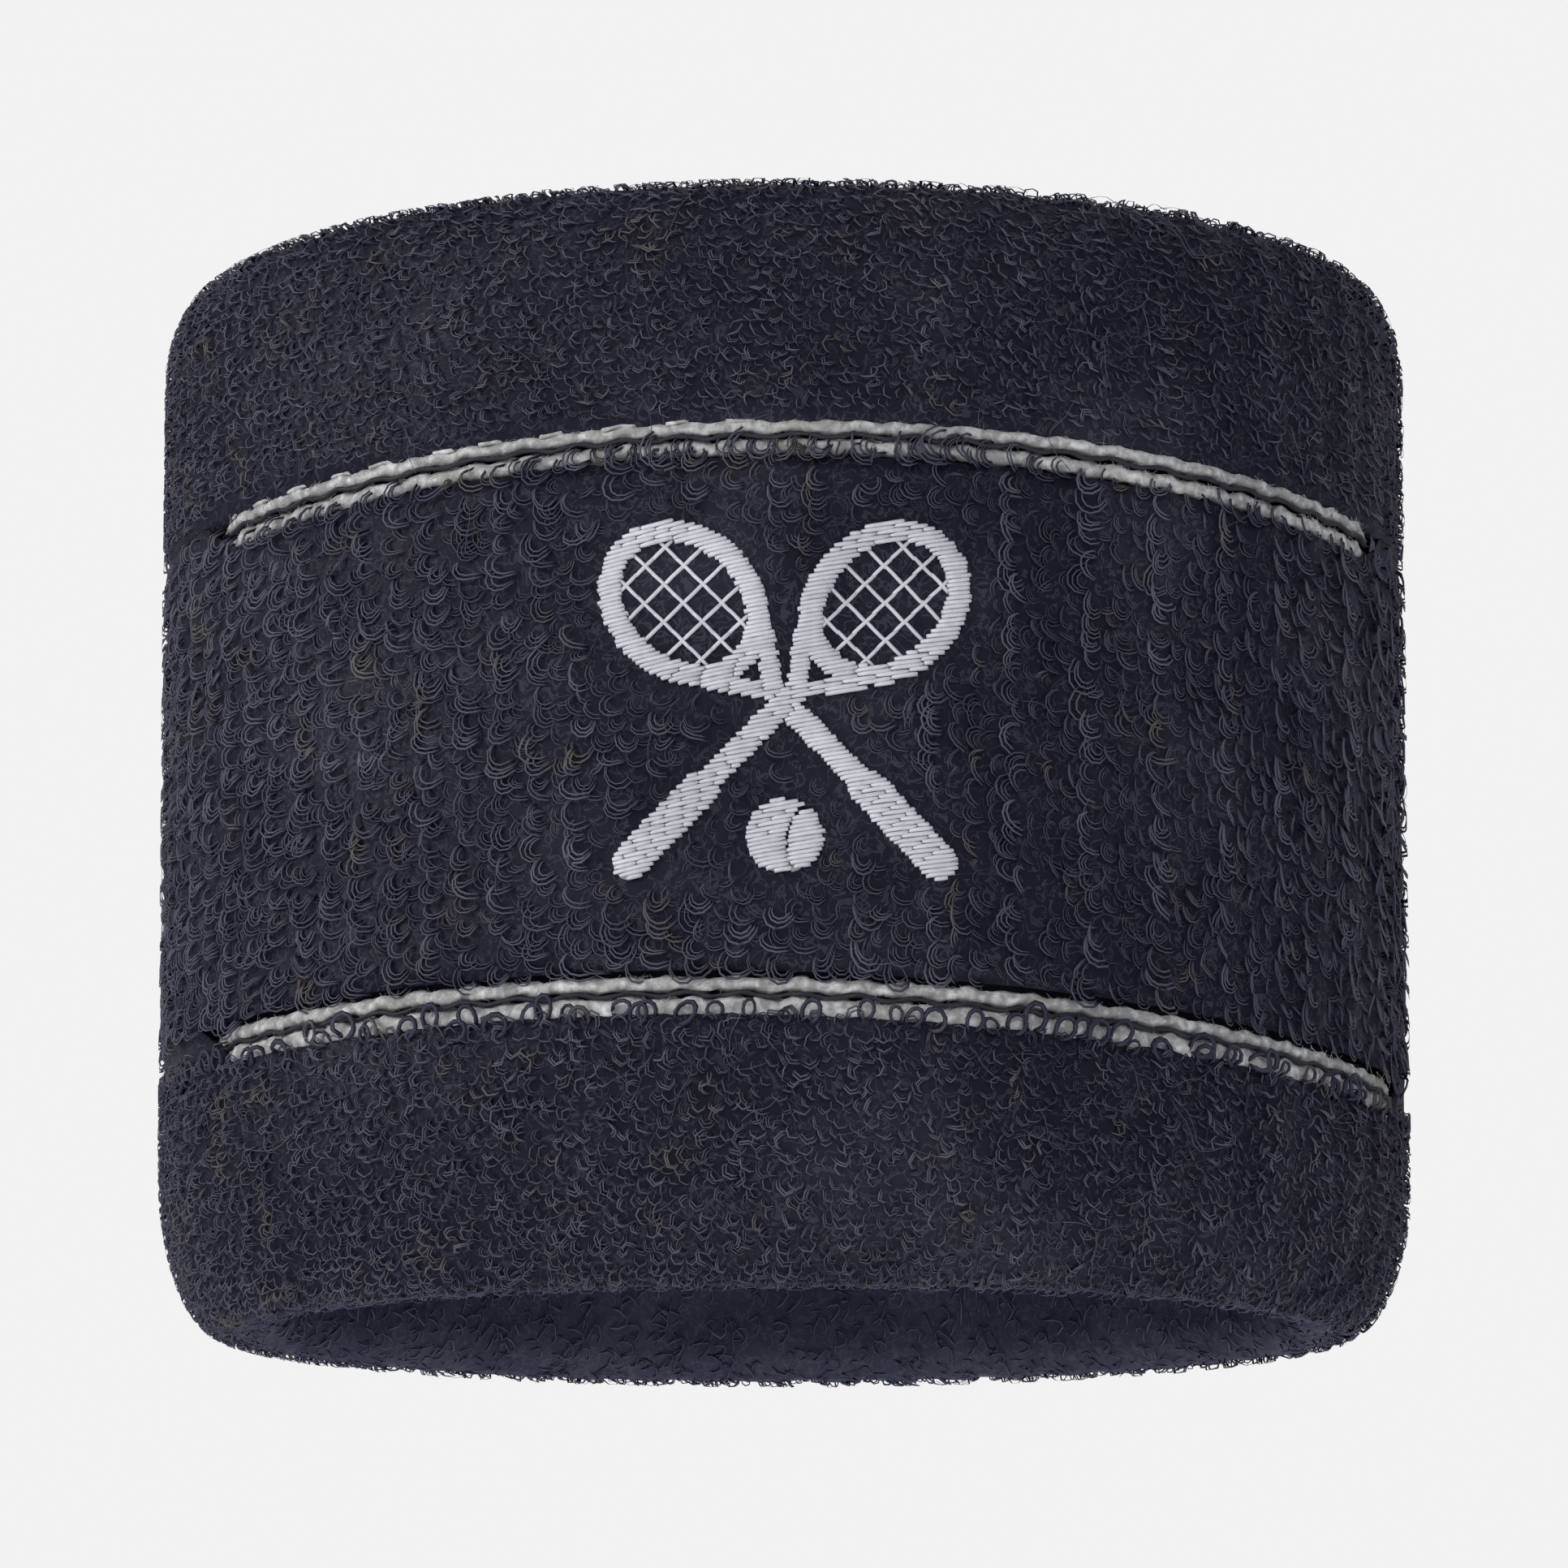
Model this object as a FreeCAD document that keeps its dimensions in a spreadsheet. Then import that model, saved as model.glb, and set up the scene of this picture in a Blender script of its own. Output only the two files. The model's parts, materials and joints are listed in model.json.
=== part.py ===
"""Sweat wristband: a tube of terry knit folded to a double wall, with two yarn-filled channels.

Millimetres. The band stands on its lower rim: +Z is up, -Y is the embroidered front, and the origin
is the centre of the rim's plane. Every layer is an oval sleeve at some depth below the outer face,
so neighbouring layers share one oval and meet face to face.
"""
import FreeCAD, Part
import os

from FreeCAD import Placement, Rotation, Vector

os.makedirs("parts", exist_ok=True)
doc = FreeCAD.newDocument("wristband")

DIMENSIONS = {
    # the band as a whole
    "band_width": 84.0,
    "band_depth": 67.0,
    "band_height": 71.0,
    # layers of the double wall, from the outer face inwards
    "pile_depth": 2.6,
    "knit_depth": 0.8,
    "wall_gap": 1.6,
    "lining_depth": 2.4,
    "elastic_size": 0.4,
    "elastic_pitch": 3.2,
    # rims
    "fold_radius": 3.6,
    "lining_radius": 3.2,
    "taper_depth": 2.2,
    "taper_height": 12.0,
    # channels: the height of each one's lower edge, and its courses from there up
    "lower_channel": 15.3,
    "upper_channel": 50.9,
    "broad_course": 1.2,
    "stripe_course": 0.9,
    "divider_course": 0.4,
    "broken_course": 0.4,
    "stripe_recess": 0.9,
    "divider_recess": 1.3,
    # closing seam in the lining
    "seam_height": 35.5,
    "seam_slit": 0.6,
    "seam_groove": 1.8,
    "seam_relief": 0.6,
    # embroidery
    "motif_height": 36.0,
    "halo_width": 27.0,
    "halo_height": 25.6,
    "halo_depth": 1.3,
    "underlay_depth": 0.3,
    "thread_depth": 0.7,
    "bobbin_depth": 0.2,
    "backing_depth": 0.4,
    "backing_margin": 1.0,
    "racket_tilt": 44.0,
    "head_width": 9.4,
    "head_length": 11.6,
    "frame_width": 1.3,
    "head_offset": 9.0,
    "shaft_width": 1.4,
    "grip_width": 2.2,
    "grip_length": 7.4,
    "grip_offset": 7.4,
    "throat_width": 1.0,
    "throat_length": 5.2,
    "throat_spread": 24.0,
    "string_width": 0.25,
    "string_pitch": 1.7,
    "ball_width": 4.6,
    "ball_drop": 8.4,
}

sheet = doc.addObject("Spreadsheet::Sheet", "sizes")
for row, (alias, size) in enumerate(DIMENSIONS.items(), start=1):
    sheet.set(f"A{row}", alias)
    sheet.set(f"B{row}", str(size))
    sheet.setAlias(f"B{row}", alias)
doc.recompute()

# Depths below the outer face at which one layer ends and the next begins.
OUTER_KNIT = "pile_depth"
OUTER_BACK = "pile_depth + knit_depth"
INNER_BACK = "pile_depth + knit_depth + wall_gap"
LINING_FACE = "pile_depth + 2 * knit_depth + wall_gap"
WRIST_FACE = "pile_depth + 2 * knit_depth + wall_gap + lining_depth"
CREST = "pile_depth + knit_depth + wall_gap / 2"
ZERO = "0"
nodes = {}


def bound(text):
    """The text as an expression in which every driving dimension is read from the sheet."""
    words = text.replace("(", " ( ").replace(")", " ) ").split()
    return " ".join(f"sizes.{word}" if word in DIMENSIONS else word for word in words)


def value(text):
    """The text's number, for geometry that is worked out here."""
    words = text.replace("(", " ( ").replace(")", " ) ").split()
    terms = [str(sheet.get(word)) if word in DIMENSIONS else word for word in words]
    return float(FreeCAD.Units.Quantity(" ".join(terms)).Value)


def oval(name, depth, low, height):
    """A solid oval column whose side lies depth below the band's outer face."""
    edge = doc.addObject("Part::Ellipse", name + "_edge")
    edge.setExpression("MajorRadius", bound(f"band_width / 2 - ( {depth} )"))
    edge.setExpression("MinorRadius", bound(f"band_depth / 2 - ( {depth} )"))
    edge.setExpression("Placement.Base.z", bound(low))
    column = doc.addObject("Part::Extrusion", name + "_column")
    column.Base = edge
    column.DirMode = "Custom"
    column.Dir = Vector(0, 0, 1)
    column.Solid = True
    column.setExpression("LengthFwd", bound(height))
    return column


def cut(name, base, tool):
    result = doc.addObject("Part::Cut", name)
    result.Base = base
    result.Tool = tool
    return result


def common(name, base, tool):
    result = doc.addObject("Part::Common", name)
    result.Base = base
    result.Tool = tool
    return result


def fused(name, shapes):
    result = doc.addObject("Part::MultiFuse", name)
    result.Shapes = shapes
    return result


def sleeve(name, face, back, low, height):
    """An oval sleeve between two depths, from one height up."""
    outside = oval(name + "_outside", face, low, height)
    inside = oval(name + "_inside", back, low, height)
    return cut(name, outside, inside)


def rim_edges(shape, height, outermost):
    """The numbers of the edges of a horizontal oval rim at one height: the widest or the narrowest."""
    level = [
        (edge.BoundBox.XLength, number)
        for number, edge in enumerate(shape.Edges, start=1)
        if abs(edge.BoundBox.ZMin - height) < 1e-4 and abs(edge.BoundBox.ZMax - height) < 1e-4
    ]
    wanted = max(level)[0] if outermost else min(level)[0]
    return [number for width, number in level if abs(width - wanted) < 1e-4]


def softened(kind, name, base, height, outermost, first, second):
    """A fillet or chamfer round one rim, with its sizes along the two faces that meet there."""
    doc.recompute()
    result = doc.addObject(kind, name)
    result.Base = base
    result.Edges = [
        (number, value(first), value(second)) for number in rim_edges(base.Shape, height, outermost)
    ]
    return result


def node(name, item):
    item.Label = name
    nodes[name] = item
    return item


# Pile: each zone is a sleeve, and the zones at the rims turn over the fold as far as its crest.
def turned_over(name, face, back, low, height, crest_low):
    """A sleeve and the ring of pile that carries it over a fold to the crest."""
    if face == ZERO:
        cap = sleeve(name + "_turn", face, CREST, crest_low, "pile_depth")
    else:
        cap = sleeve(name + "_turn", CREST, back, crest_low, "pile_depth")
    return fused(name + "_zone", [sleeve(name + "_wall", face, back, low, height), cap])


def make_piles():
    top_turn = "band_height - pile_depth"
    top = value("band_height")
    lower_top = "lower_channel"
    upper_low = "upper_channel + 2 * stripe_course + divider_course + broken_course"
    middle_low = "lower_channel + broad_course + divider_course + stripe_course"
    seam_low = "seam_height - seam_groove / 2"
    seam_top = "seam_height + seam_groove / 2"

    upper = turned_over("upper", ZERO, OUTER_KNIT, upper_low, f"{top_turn} - ( {upper_low} )", top_turn)
    upper = softened("Part::Fillet", "upper_round", upper, top, True, "fold_radius", "fold_radius")
    node("upper_terry_pile", upper)

    lower = turned_over("lower", ZERO, OUTER_KNIT, "pile_depth", f"{lower_top} - pile_depth", ZERO)
    lower = softened("Part::Chamfer", "lower_taper", lower, 0, True, "taper_height", "taper_depth")
    node("lower_terry_pile", lower)

    middle = sleeve("middle", ZERO, OUTER_KNIT, middle_low, f"upper_channel - ( {middle_low} )")
    pressed = common("halo", front_prism("halo_prism", "halo_width", "halo_height"),
                     sleeve("halo_layer", ZERO, "halo_depth", ZERO, "band_height"))
    node("middle_terry_pile", cut("middle_pressed", middle, pressed))

    lining = turned_over("upper_lining", LINING_FACE, WRIST_FACE, seam_top,
                         f"{top_turn} - ( {seam_top} )", top_turn)
    lining = softened("Part::Fillet", "upper_lining_round", lining, top, False,
                      "lining_radius", "lining_radius")
    node("upper_lining_pile", lining)

    lining = turned_over("lower_lining", LINING_FACE, WRIST_FACE, "pile_depth",
                         f"{seam_low} - pile_depth", ZERO)
    lining = softened("Part::Fillet", "lower_lining_round", lining, 0, False,
                      "lining_radius", "lining_radius")
    node("lower_lining_pile", lining)


# Ground: one folded tube, open only at the slit where the closing seam joins its two ends.
def make_ground():
    tube = sleeve("tube", OUTER_KNIT, LINING_FACE, "pile_depth", "band_height - 2 * pile_depth")
    hollow = sleeve("hollow", OUTER_BACK, INNER_BACK, "pile_depth + knit_depth",
                    "band_height - 2 * pile_depth - 2 * knit_depth")
    slit_low = "seam_height - seam_slit / 2"
    slit = sleeve("slit", INNER_BACK, LINING_FACE, slit_low, "seam_slit")
    node("ground_knit", cut("ground", cut("folded_tube", tube, hollow), slit))
    node("closing_seam_thread",
         sleeve("seam", INNER_BACK, f"{LINING_FACE} + seam_relief", slit_low, "seam_slit"))


def oval_face(depth, height):
    """A flat oval at one depth below the outer face, as a face that Part can extrude."""
    major = value("band_width") / 2 - depth
    minor = value("band_depth") / 2 - depth
    ellipse = Part.Ellipse(Vector(0, 0, height), major, minor)
    return Part.Face(Part.Wire(ellipse.toShape()))


def make_elastic(name, depth):
    """Rings of elastic yarn, one every few courses, laid against the back of a wall of the knit."""
    size = value("elastic_size")
    pitch = value("elastic_pitch")
    low = value("pile_depth + 2 * knit_depth")
    rings = []
    height = low
    while height + size < value("band_height") - low:
        outside = oval_face(depth, height).extrude(Vector(0, 0, size))
        inside = oval_face(depth + size, height).extrude(Vector(0, 0, size))
        rings.append(outside.cut(inside))
        height += pitch
    group = doc.addObject("Part::Feature", name + "_rings")
    group.Shape = Part.makeCompound(rings)
    node(name, group)


# Channels: courses of yarn stacked on the face of the ground.
def make_channel(start, courses):
    height = start
    for name, course, recess in courses:
        node(name, sleeve(name + "_course", recess, OUTER_KNIT, height, course))
        height = f"{height} + {course}"


# Embroidery: flat outlines driven through the front wall and kept where they meet one thin layer.
def front_prism(name, width, height):
    """An oval bar that runs forwards out of the band at the motif's height."""
    edge = doc.addObject("Part::Ellipse", name + "_edge")
    wide = value(width) >= value(height)
    long_side, short_side = (width, height) if wide else (height, width)
    edge.setExpression("MajorRadius", bound(f"( {long_side} ) / 2"))
    edge.setExpression("MinorRadius", bound(f"( {short_side} ) / 2"))
    turn = Rotation(Vector(1, 0, 0), 90)
    if not wide:
        turn = turn * Rotation(Vector(0, 0, 1), 90)
    edge.Placement = Placement(Vector(0, 0, value("motif_height")), turn)
    bar = doc.addObject("Part::Extrusion", name)
    bar.Base = edge
    bar.DirMode = "Custom"
    bar.Dir = Vector(0, -1, 0)
    bar.Solid = True
    bar.setExpression("LengthFwd", bound("band_depth"))
    return bar


def stitched_bar(name, width, length, along, tilt, turn=0.0, across=0.0):
    """A straight bar of stitching in the plane of the motif, placed along a racket's own axis."""
    bar = doc.addObject("Part::Box", name)
    bar.setExpression("Length", bound(width))
    bar.setExpression("Width", bound("band_depth"))
    bar.setExpression("Height", bound(length))
    centred = Placement(Vector(-value(width) / 2, -value("band_depth"), -value(length) / 2), Rotation())
    own = Placement(Vector(across, 0, along), Rotation(Vector(0, 1, 0), turn))
    bar.Placement = racket_place(tilt).multiply(own).multiply(centred)
    return bar


def racket_place(tilt):
    return Placement(Vector(0, 0, value("motif_height")), Rotation(Vector(0, 1, 0), tilt))


def head_oval(name, tilt, inset):
    """The oval of a racket's head, shrunk by an inset."""
    edge = doc.addObject("Part::Ellipse", name + "_edge")
    edge.setExpression("MajorRadius", bound(f"head_length / 2 - {inset}"))
    edge.setExpression("MinorRadius", bound(f"head_width / 2 - {inset}"))
    upright = Rotation(Vector(1, 0, 0), 90) * Rotation(Vector(0, 0, 1), 90)
    own = Placement(Vector(0, 0, value("head_offset")), upright)
    edge.Placement = racket_place(tilt).multiply(own)
    bar = doc.addObject("Part::Extrusion", name)
    bar.Base = edge
    bar.DirMode = "Custom"
    bar.Dir = Vector(0, -1, 0)
    bar.Solid = True
    bar.setExpression("LengthFwd", bound("band_depth"))
    return bar


def racket_outline(side, tilt):
    """One racket seen from the front: head, throat, shaft and grip."""
    frame = cut(side + "_frame", head_oval(side + "_head", tilt, ZERO),
                head_oval(side + "_bed", tilt, "frame_width"))
    throat_along = value("head_offset - head_length / 2 - throat_length / 2 + frame_width")
    throat_across = value("head_width / 9")
    throats = [
        stitched_bar(f"{side}_throat_{number}", "throat_width", "throat_length", throat_along, tilt,
                     turn=lean * value("throat_spread"), across=lean * throat_across)
        for number, lean in enumerate((-1, 1), start=1)
    ]
    shaft_length = "head_offset - head_length / 2 + grip_offset"
    shaft_along = value("( head_offset - head_length / 2 - grip_offset ) / 2") - value("frame_width")
    shaft = stitched_bar(side + "_shaft", "shaft_width", shaft_length, shaft_along, tilt)
    grip_along = -value("grip_offset + grip_length / 2")
    grip = stitched_bar(side + "_grip", "grip_width", "grip_length", grip_along, tilt)
    return fused(side + "_outline", [frame, *throats, shaft, grip])


def string_bed(side, tilt):
    """The strings of one head, as a grid of fine bars trimmed to the inside of the frame."""
    pitch = value("string_pitch")
    centre = value("head_offset")
    strings = []
    for step in (-1, 0, 1):
        strings.append(stitched_bar(f"{side}_main_{step + 2}", "string_width", "head_length", centre, tilt,
                                    across=step * pitch))
    for step in (-2, -1, 0, 1, 2):
        strings.append(stitched_bar(f"{side}_cross_{step + 3}", "string_width", "head_width",
                                    centre + step * pitch, tilt, turn=90))
    return common(side + "_strings", fused(side + "_grid", strings),
                  head_oval(side + "_string_field", tilt, "frame_width"))


def make_embroidery():
    tilt = value("racket_tilt")
    right = racket_outline("right", tilt)
    left_whole = racket_outline("left", -tilt)
    left = cut("left_under", left_whole, right)
    ball = doc.addObject("Part::Cylinder", "ball_bar")
    ball.setExpression("Radius", bound("ball_width / 2"))
    ball.setExpression("Height", bound("band_depth"))
    ball.Placement = Placement(Vector(0, 0, value("motif_height - ball_drop")),
                               Rotation(Vector(1, 0, 0), 90))
    strings = fused("both_strings", [string_bed("right", tilt), string_bed("left", -tilt)])

    face = "halo_depth - underlay_depth - thread_depth"
    back = "halo_depth - underlay_depth"
    for name, outline in (("left_racket_stitching", left), ("right_racket_stitching", right),
                          ("ball_stitching", ball), ("racket_string_stitching", strings)):
        layer = sleeve(name + "_layer", face, back, ZERO, "band_height")
        node(name, common(name + "_on_front", outline, layer))

    everything = fused("motif_outline", [left, right, ball])
    layers = (
        ("embroidery_underlay", "halo_depth - underlay_depth", "halo_depth"),
        ("embroidery_bobbin_thread", f"{OUTER_BACK} + elastic_size",
         f"{OUTER_BACK} + elastic_size + bobbin_depth"),
    )
    for name, face, back in layers:
        layer = sleeve(name + "_layer", face, back, ZERO, "band_height")
        node(name, common(name + "_on_front", everything, layer))
    backing_face = f"{OUTER_BACK} + elastic_size + bobbin_depth"
    layer = sleeve("backing_layer", backing_face, f"{backing_face} + backing_depth", ZERO, "band_height")
    node("embroidery_stabiliser",
         common("backing", front_prism("backing_prism", "halo_width + backing_margin",
                                       "halo_height + backing_margin"), layer))


make_piles()
make_ground()
make_elastic("outer_elastic_yarn", value(OUTER_BACK))
make_elastic("lining_elastic_yarn", value(INNER_BACK) - value("elastic_size"))
make_channel("upper_channel", [
    ("upper_channel_lower_stripe", "stripe_course", "stripe_recess"),
    ("upper_channel_divider", "divider_course", "divider_recess"),
    ("upper_channel_upper_stripe", "stripe_course", "stripe_recess"),
    ("upper_channel_broken_course", "broken_course", "divider_recess"),
])
make_channel("lower_channel", [
    ("lower_channel_lower_stripe", "broad_course", "stripe_recess"),
    ("lower_channel_divider", "divider_course", "divider_recess"),
    ("lower_channel_upper_stripe", "stripe_course", "stripe_recess"),
])
make_embroidery()
doc.recompute()

for item in doc.Objects:
    if "Invalid" in item.State or "Error" in item.State:
        raise RuntimeError(f"{item.Name} did not recompute: {item.State}")
for name, item in nodes.items():
    shape = item.Shape
    if shape.isNull() or not shape.isValid() or not shape.Solids:
        raise RuntimeError(f"{name} has no valid solid")
for name, item in nodes.items():
    item.Shape.exportStep(f"parts/{name}.step")
    box = item.Shape.BoundBox
    print(f"{name}: {len(item.Shape.Solids)} solids, {item.Shape.Volume:.1f} mm3, "
          f"z {box.ZMin:.2f} to {box.ZMax:.2f}, x {box.XMin:.2f} to {box.XMax:.2f}")
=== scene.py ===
"""Looks of a sweat wristband, modelled round its packed design."""
import json
import math
import random
from bisect import bisect_right
from functools import lru_cache

import bmesh
import bpy
import numpy as np
from bpy.props import FloatProperty, FloatVectorProperty, IntProperty, PointerProperty
from bpy.types import Operator, Panel, PropertyGroup
from mathutils import Matrix, Vector, noise

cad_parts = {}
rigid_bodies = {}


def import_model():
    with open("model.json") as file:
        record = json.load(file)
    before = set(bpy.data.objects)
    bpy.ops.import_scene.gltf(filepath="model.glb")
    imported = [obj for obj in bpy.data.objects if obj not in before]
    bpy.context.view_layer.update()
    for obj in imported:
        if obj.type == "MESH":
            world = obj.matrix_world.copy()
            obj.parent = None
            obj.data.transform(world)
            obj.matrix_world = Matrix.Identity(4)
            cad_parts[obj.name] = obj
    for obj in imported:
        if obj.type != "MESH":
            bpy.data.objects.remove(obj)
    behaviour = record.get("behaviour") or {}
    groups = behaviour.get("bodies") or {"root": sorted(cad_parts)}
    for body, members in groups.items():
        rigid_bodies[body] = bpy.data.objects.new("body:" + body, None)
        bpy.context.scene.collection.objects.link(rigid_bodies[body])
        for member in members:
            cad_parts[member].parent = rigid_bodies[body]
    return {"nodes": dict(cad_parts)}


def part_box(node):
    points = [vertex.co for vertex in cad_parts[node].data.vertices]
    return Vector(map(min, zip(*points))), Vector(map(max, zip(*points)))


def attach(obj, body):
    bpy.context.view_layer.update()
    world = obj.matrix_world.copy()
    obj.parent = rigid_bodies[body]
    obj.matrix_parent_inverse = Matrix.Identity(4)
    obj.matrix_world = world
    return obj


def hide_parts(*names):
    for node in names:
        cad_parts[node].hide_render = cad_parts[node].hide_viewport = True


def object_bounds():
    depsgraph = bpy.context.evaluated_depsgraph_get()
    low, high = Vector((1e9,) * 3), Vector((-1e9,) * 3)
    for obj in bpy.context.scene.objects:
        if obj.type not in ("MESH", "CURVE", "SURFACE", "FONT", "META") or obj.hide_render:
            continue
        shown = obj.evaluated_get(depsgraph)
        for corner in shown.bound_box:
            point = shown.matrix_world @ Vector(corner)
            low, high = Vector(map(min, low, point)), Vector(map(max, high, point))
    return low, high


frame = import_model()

bl_info = {
    "name": "Sweat wristband",
    "version": (1, 0, 0),
    "blender": (4, 5, 0),
    "location": "View3D > Sidebar > Wristband",
    "description": "Models a doubled terry wristband with yarn-filled channels and an embroidered motif",
    "category": "Add Mesh",
}

CAD_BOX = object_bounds()
HALF_WIDTH = CAD_BOX[1].x
HALF_DEPTH = CAD_BOX[1].y
HEIGHT = CAD_BOX[1].z
MM = 0.001
FULL_TURN = 2 * math.pi

# Depths below the tips of the pile.
KNIT_FACE, KNIT_BACK = 2.3 * MM, 3.1 * MM
FOOT_BASE = 2.45 * MM
LOOP_EASE, FIBRE_EASE = 0.12 * MM, 0.1 * MM
MOTIF_DIP = 0.42 * MM
FILL_DEPTH, STRING_DEPTH = 0.95 * MM, 1.05 * MM

# How far the foot of a zone reaches up over the channel above it, where the pile closes, and how far the
# foot of the lower zone starts below its stripe.
LOWER_START = 0.3 * MM
CHANNEL_COVER = {"middle_terry_pile": 2.6 * MM, "lower_terry_pile": 3.1 * MM}

# How near the very ends of the oval, as an angle, the pile hides a channel, and over what turn it closes.
LEFT_CLOSED, RIGHT_CLOSED_UPPER, RIGHT_CLOSED_LOWER, CLOSING_TURN = 0.42, 0.30, 0.17, 0.12

LOOP_VARIANTS, EDGE_VARIANTS, FIBRE_VARIANTS, STITCH_VARIANTS = 6, 3, 4, 3

# What the finer kinds of pile have in place of the middle zone's sizes.
STYLES = {
    "fine": dict(
        pitch_across=0.85 * MM, pitch_along=0.76 * MM, loop_width=1.15 * MM, loop_length=0.8 * MM,
        lift=0.5 * MM, thickness=0.13 * MM, foot=0.42 * MM, strands=2, steps=4,
        opening=math.radians(92), spread=math.radians(75)),
    "lining": dict(
        pitch_across=1.4 * MM, pitch_along=1.2 * MM, loop_width=1.4 * MM, loop_length=1.7 * MM,
        lift=0.4 * MM, thickness=0.17 * MM, foot=0.3 * MM, strands=1, steps=5,
        opening=math.radians(92), spread=math.radians(75)),
    "edge": dict(
        pitch_across=1.35 * MM, loop_width=1.35 * MM, loop_length=1.25 * MM,
        lift=0.45 * MM, thickness=0.34 * MM, strands=1, steps=9,
        opening=math.radians(155), spread=math.radians(38)),
}


def clamped(value, low=0.0, high=1.0):
    return min(max(value, low), high)


def scaled(tint, factor):
    return [value * factor for value in tint]


def turned(theta):
    """An angle round the band as a turn from the front, negative towards the left."""
    return (theta + math.pi) % FULL_TURN - math.pi


@lru_cache(maxsize=None)
def centre_height(node):
    low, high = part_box(node)
    return (low.z + high.z) / 2


# ---------------------------------------------------------------- settings


def length(name, description, default):
    return FloatProperty(name=name, description=description, default=default, unit="LENGTH", precision=5)


def colour(name, description, default):
    return FloatVectorProperty(name=name, description=description, default=default, size=3,
                               subtype="COLOR", min=0.0, max=1.0)


class BandShape(PropertyGroup):
    """How the soft wall hangs on the oval of the design."""

    wall: length("Wall", "Thickness of the doubled wall, pile included", 8.2 * MM)
    flare: FloatProperty(name="Flare", description="Share by which the top is wider than the base",
                         default=0.022, subtype="FACTOR")
    bow_lower: length("Lower bow", "Rise of the lower channel from the sides to the front", 1.86 * MM)
    bow_upper: length("Upper bow", "Rise of the upper channel from the sides to the front", 2.26 * MM)
    bow_top: length("Top bow", "Rise of the top fold from the sides to the front", -0.42 * MM)
    top_round: length("Top rounding", "Depth of the rounding of the top fold", 3.5 * MM)
    top_round_height: length("Top rounding height", "Height of the rounding of the top fold", 5.7 * MM)
    base_round: length("Base rounding", "Depth to which the wall draws in at the base", 4.6 * MM)
    base_round_height: length("Base rounding height", "Height over which the wall draws in", 11.0 * MM)
    tilt_lower: length("Lower tilt", "Rise of the lower channel towards the right end", -1.1 * MM)
    tilt_upper: length("Upper tilt", "Rise of the upper channel towards the right end", 0.27 * MM)
    tilt_top: length("Top tilt", "Rise of the top fold towards the right end", 0.2 * MM)
    lining_round: length("Lining rounding", "Rounding of both folds on the wrist side", 2.6 * MM)
    rib_pitch: length("Rib pitch", "Distance between the soft vertical ribs of the pile", 4.6 * MM)


class PileStyle(PropertyGroup):
    """Size and lie of the loops of one kind of terry."""

    pitch_across: length("Pitch across", "Distance between loops along a course", 1.26 * MM)
    pitch_along: length("Pitch along", "Distance between courses", 1.11 * MM)
    loop_width: length("Loop width", "Width of a loop", 1.75 * MM)
    loop_length: length("Loop length", "Length of a loop from root to tip", 1.4 * MM)
    lift: length("Lift", "Height of a loop above its root", 0.52 * MM)
    thickness: length("Strand", "Thickness of one strand of yarn", 0.17 * MM)
    strands: IntProperty(name="Strands", description="Most parallel strands in one loop", default=3)
    opening: FloatProperty(name="Opening", description="How far round a loop goes before it enters the cloth",
                           default=math.radians(118), subtype="ANGLE")
    steps: IntProperty(name="Steps", description="Straight steps in a loop", default=7)
    foot: length("Foot", "Depth of the dense foot of the pile below the tips", 0.46 * MM)
    lean: FloatProperty(name="Lean", description="Direction of the tips, from straight down",
                        default=math.radians(-42), subtype="ANGLE")
    spread: FloatProperty(name="Spread", description="Random part of the lean",
                          default=math.radians(24), subtype="ANGLE")


class YarnColours(PropertyGroup):
    """Colours of the yarns and threads."""

    pile_dark: colour("Pile, dark", "Colour of the pile between the loops", (0.0145, 0.0145, 0.031))
    # pile_light is the painted highlight on the tops and tips of the loops, and the light end of the random
    # mottle elsewhere.
    pile_light: colour("Pile, light", "Colour of the tips of the loops", (0.080, 0.080, 0.106))
    pile_brown: colour("Pile, brown", "Colour of the odd worn loop", (0.085, 0.076, 0.060))
    knit: colour("Ground knit", "Colour of the ground knit", (0.012, 0.012, 0.018))
    stripe: colour("Stripe", "Colour of the stripe yarn", (0.62, 0.615, 0.595))
    stripe_dirt: colour("Stripe, worn", "Colour of the stripe yarn where lint has darkened it",
                        (0.25, 0.24, 0.21))
    divider: colour("Divider", "Colour of the yarn between the stripes", (0.008, 0.008, 0.012))
    thread: colour("Embroidery", "Colour of the embroidery thread", (0.55, 0.55, 0.575))
    elastic: colour("Elastic", "Colour of the elastic yarn", (0.05, 0.05, 0.055))


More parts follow.
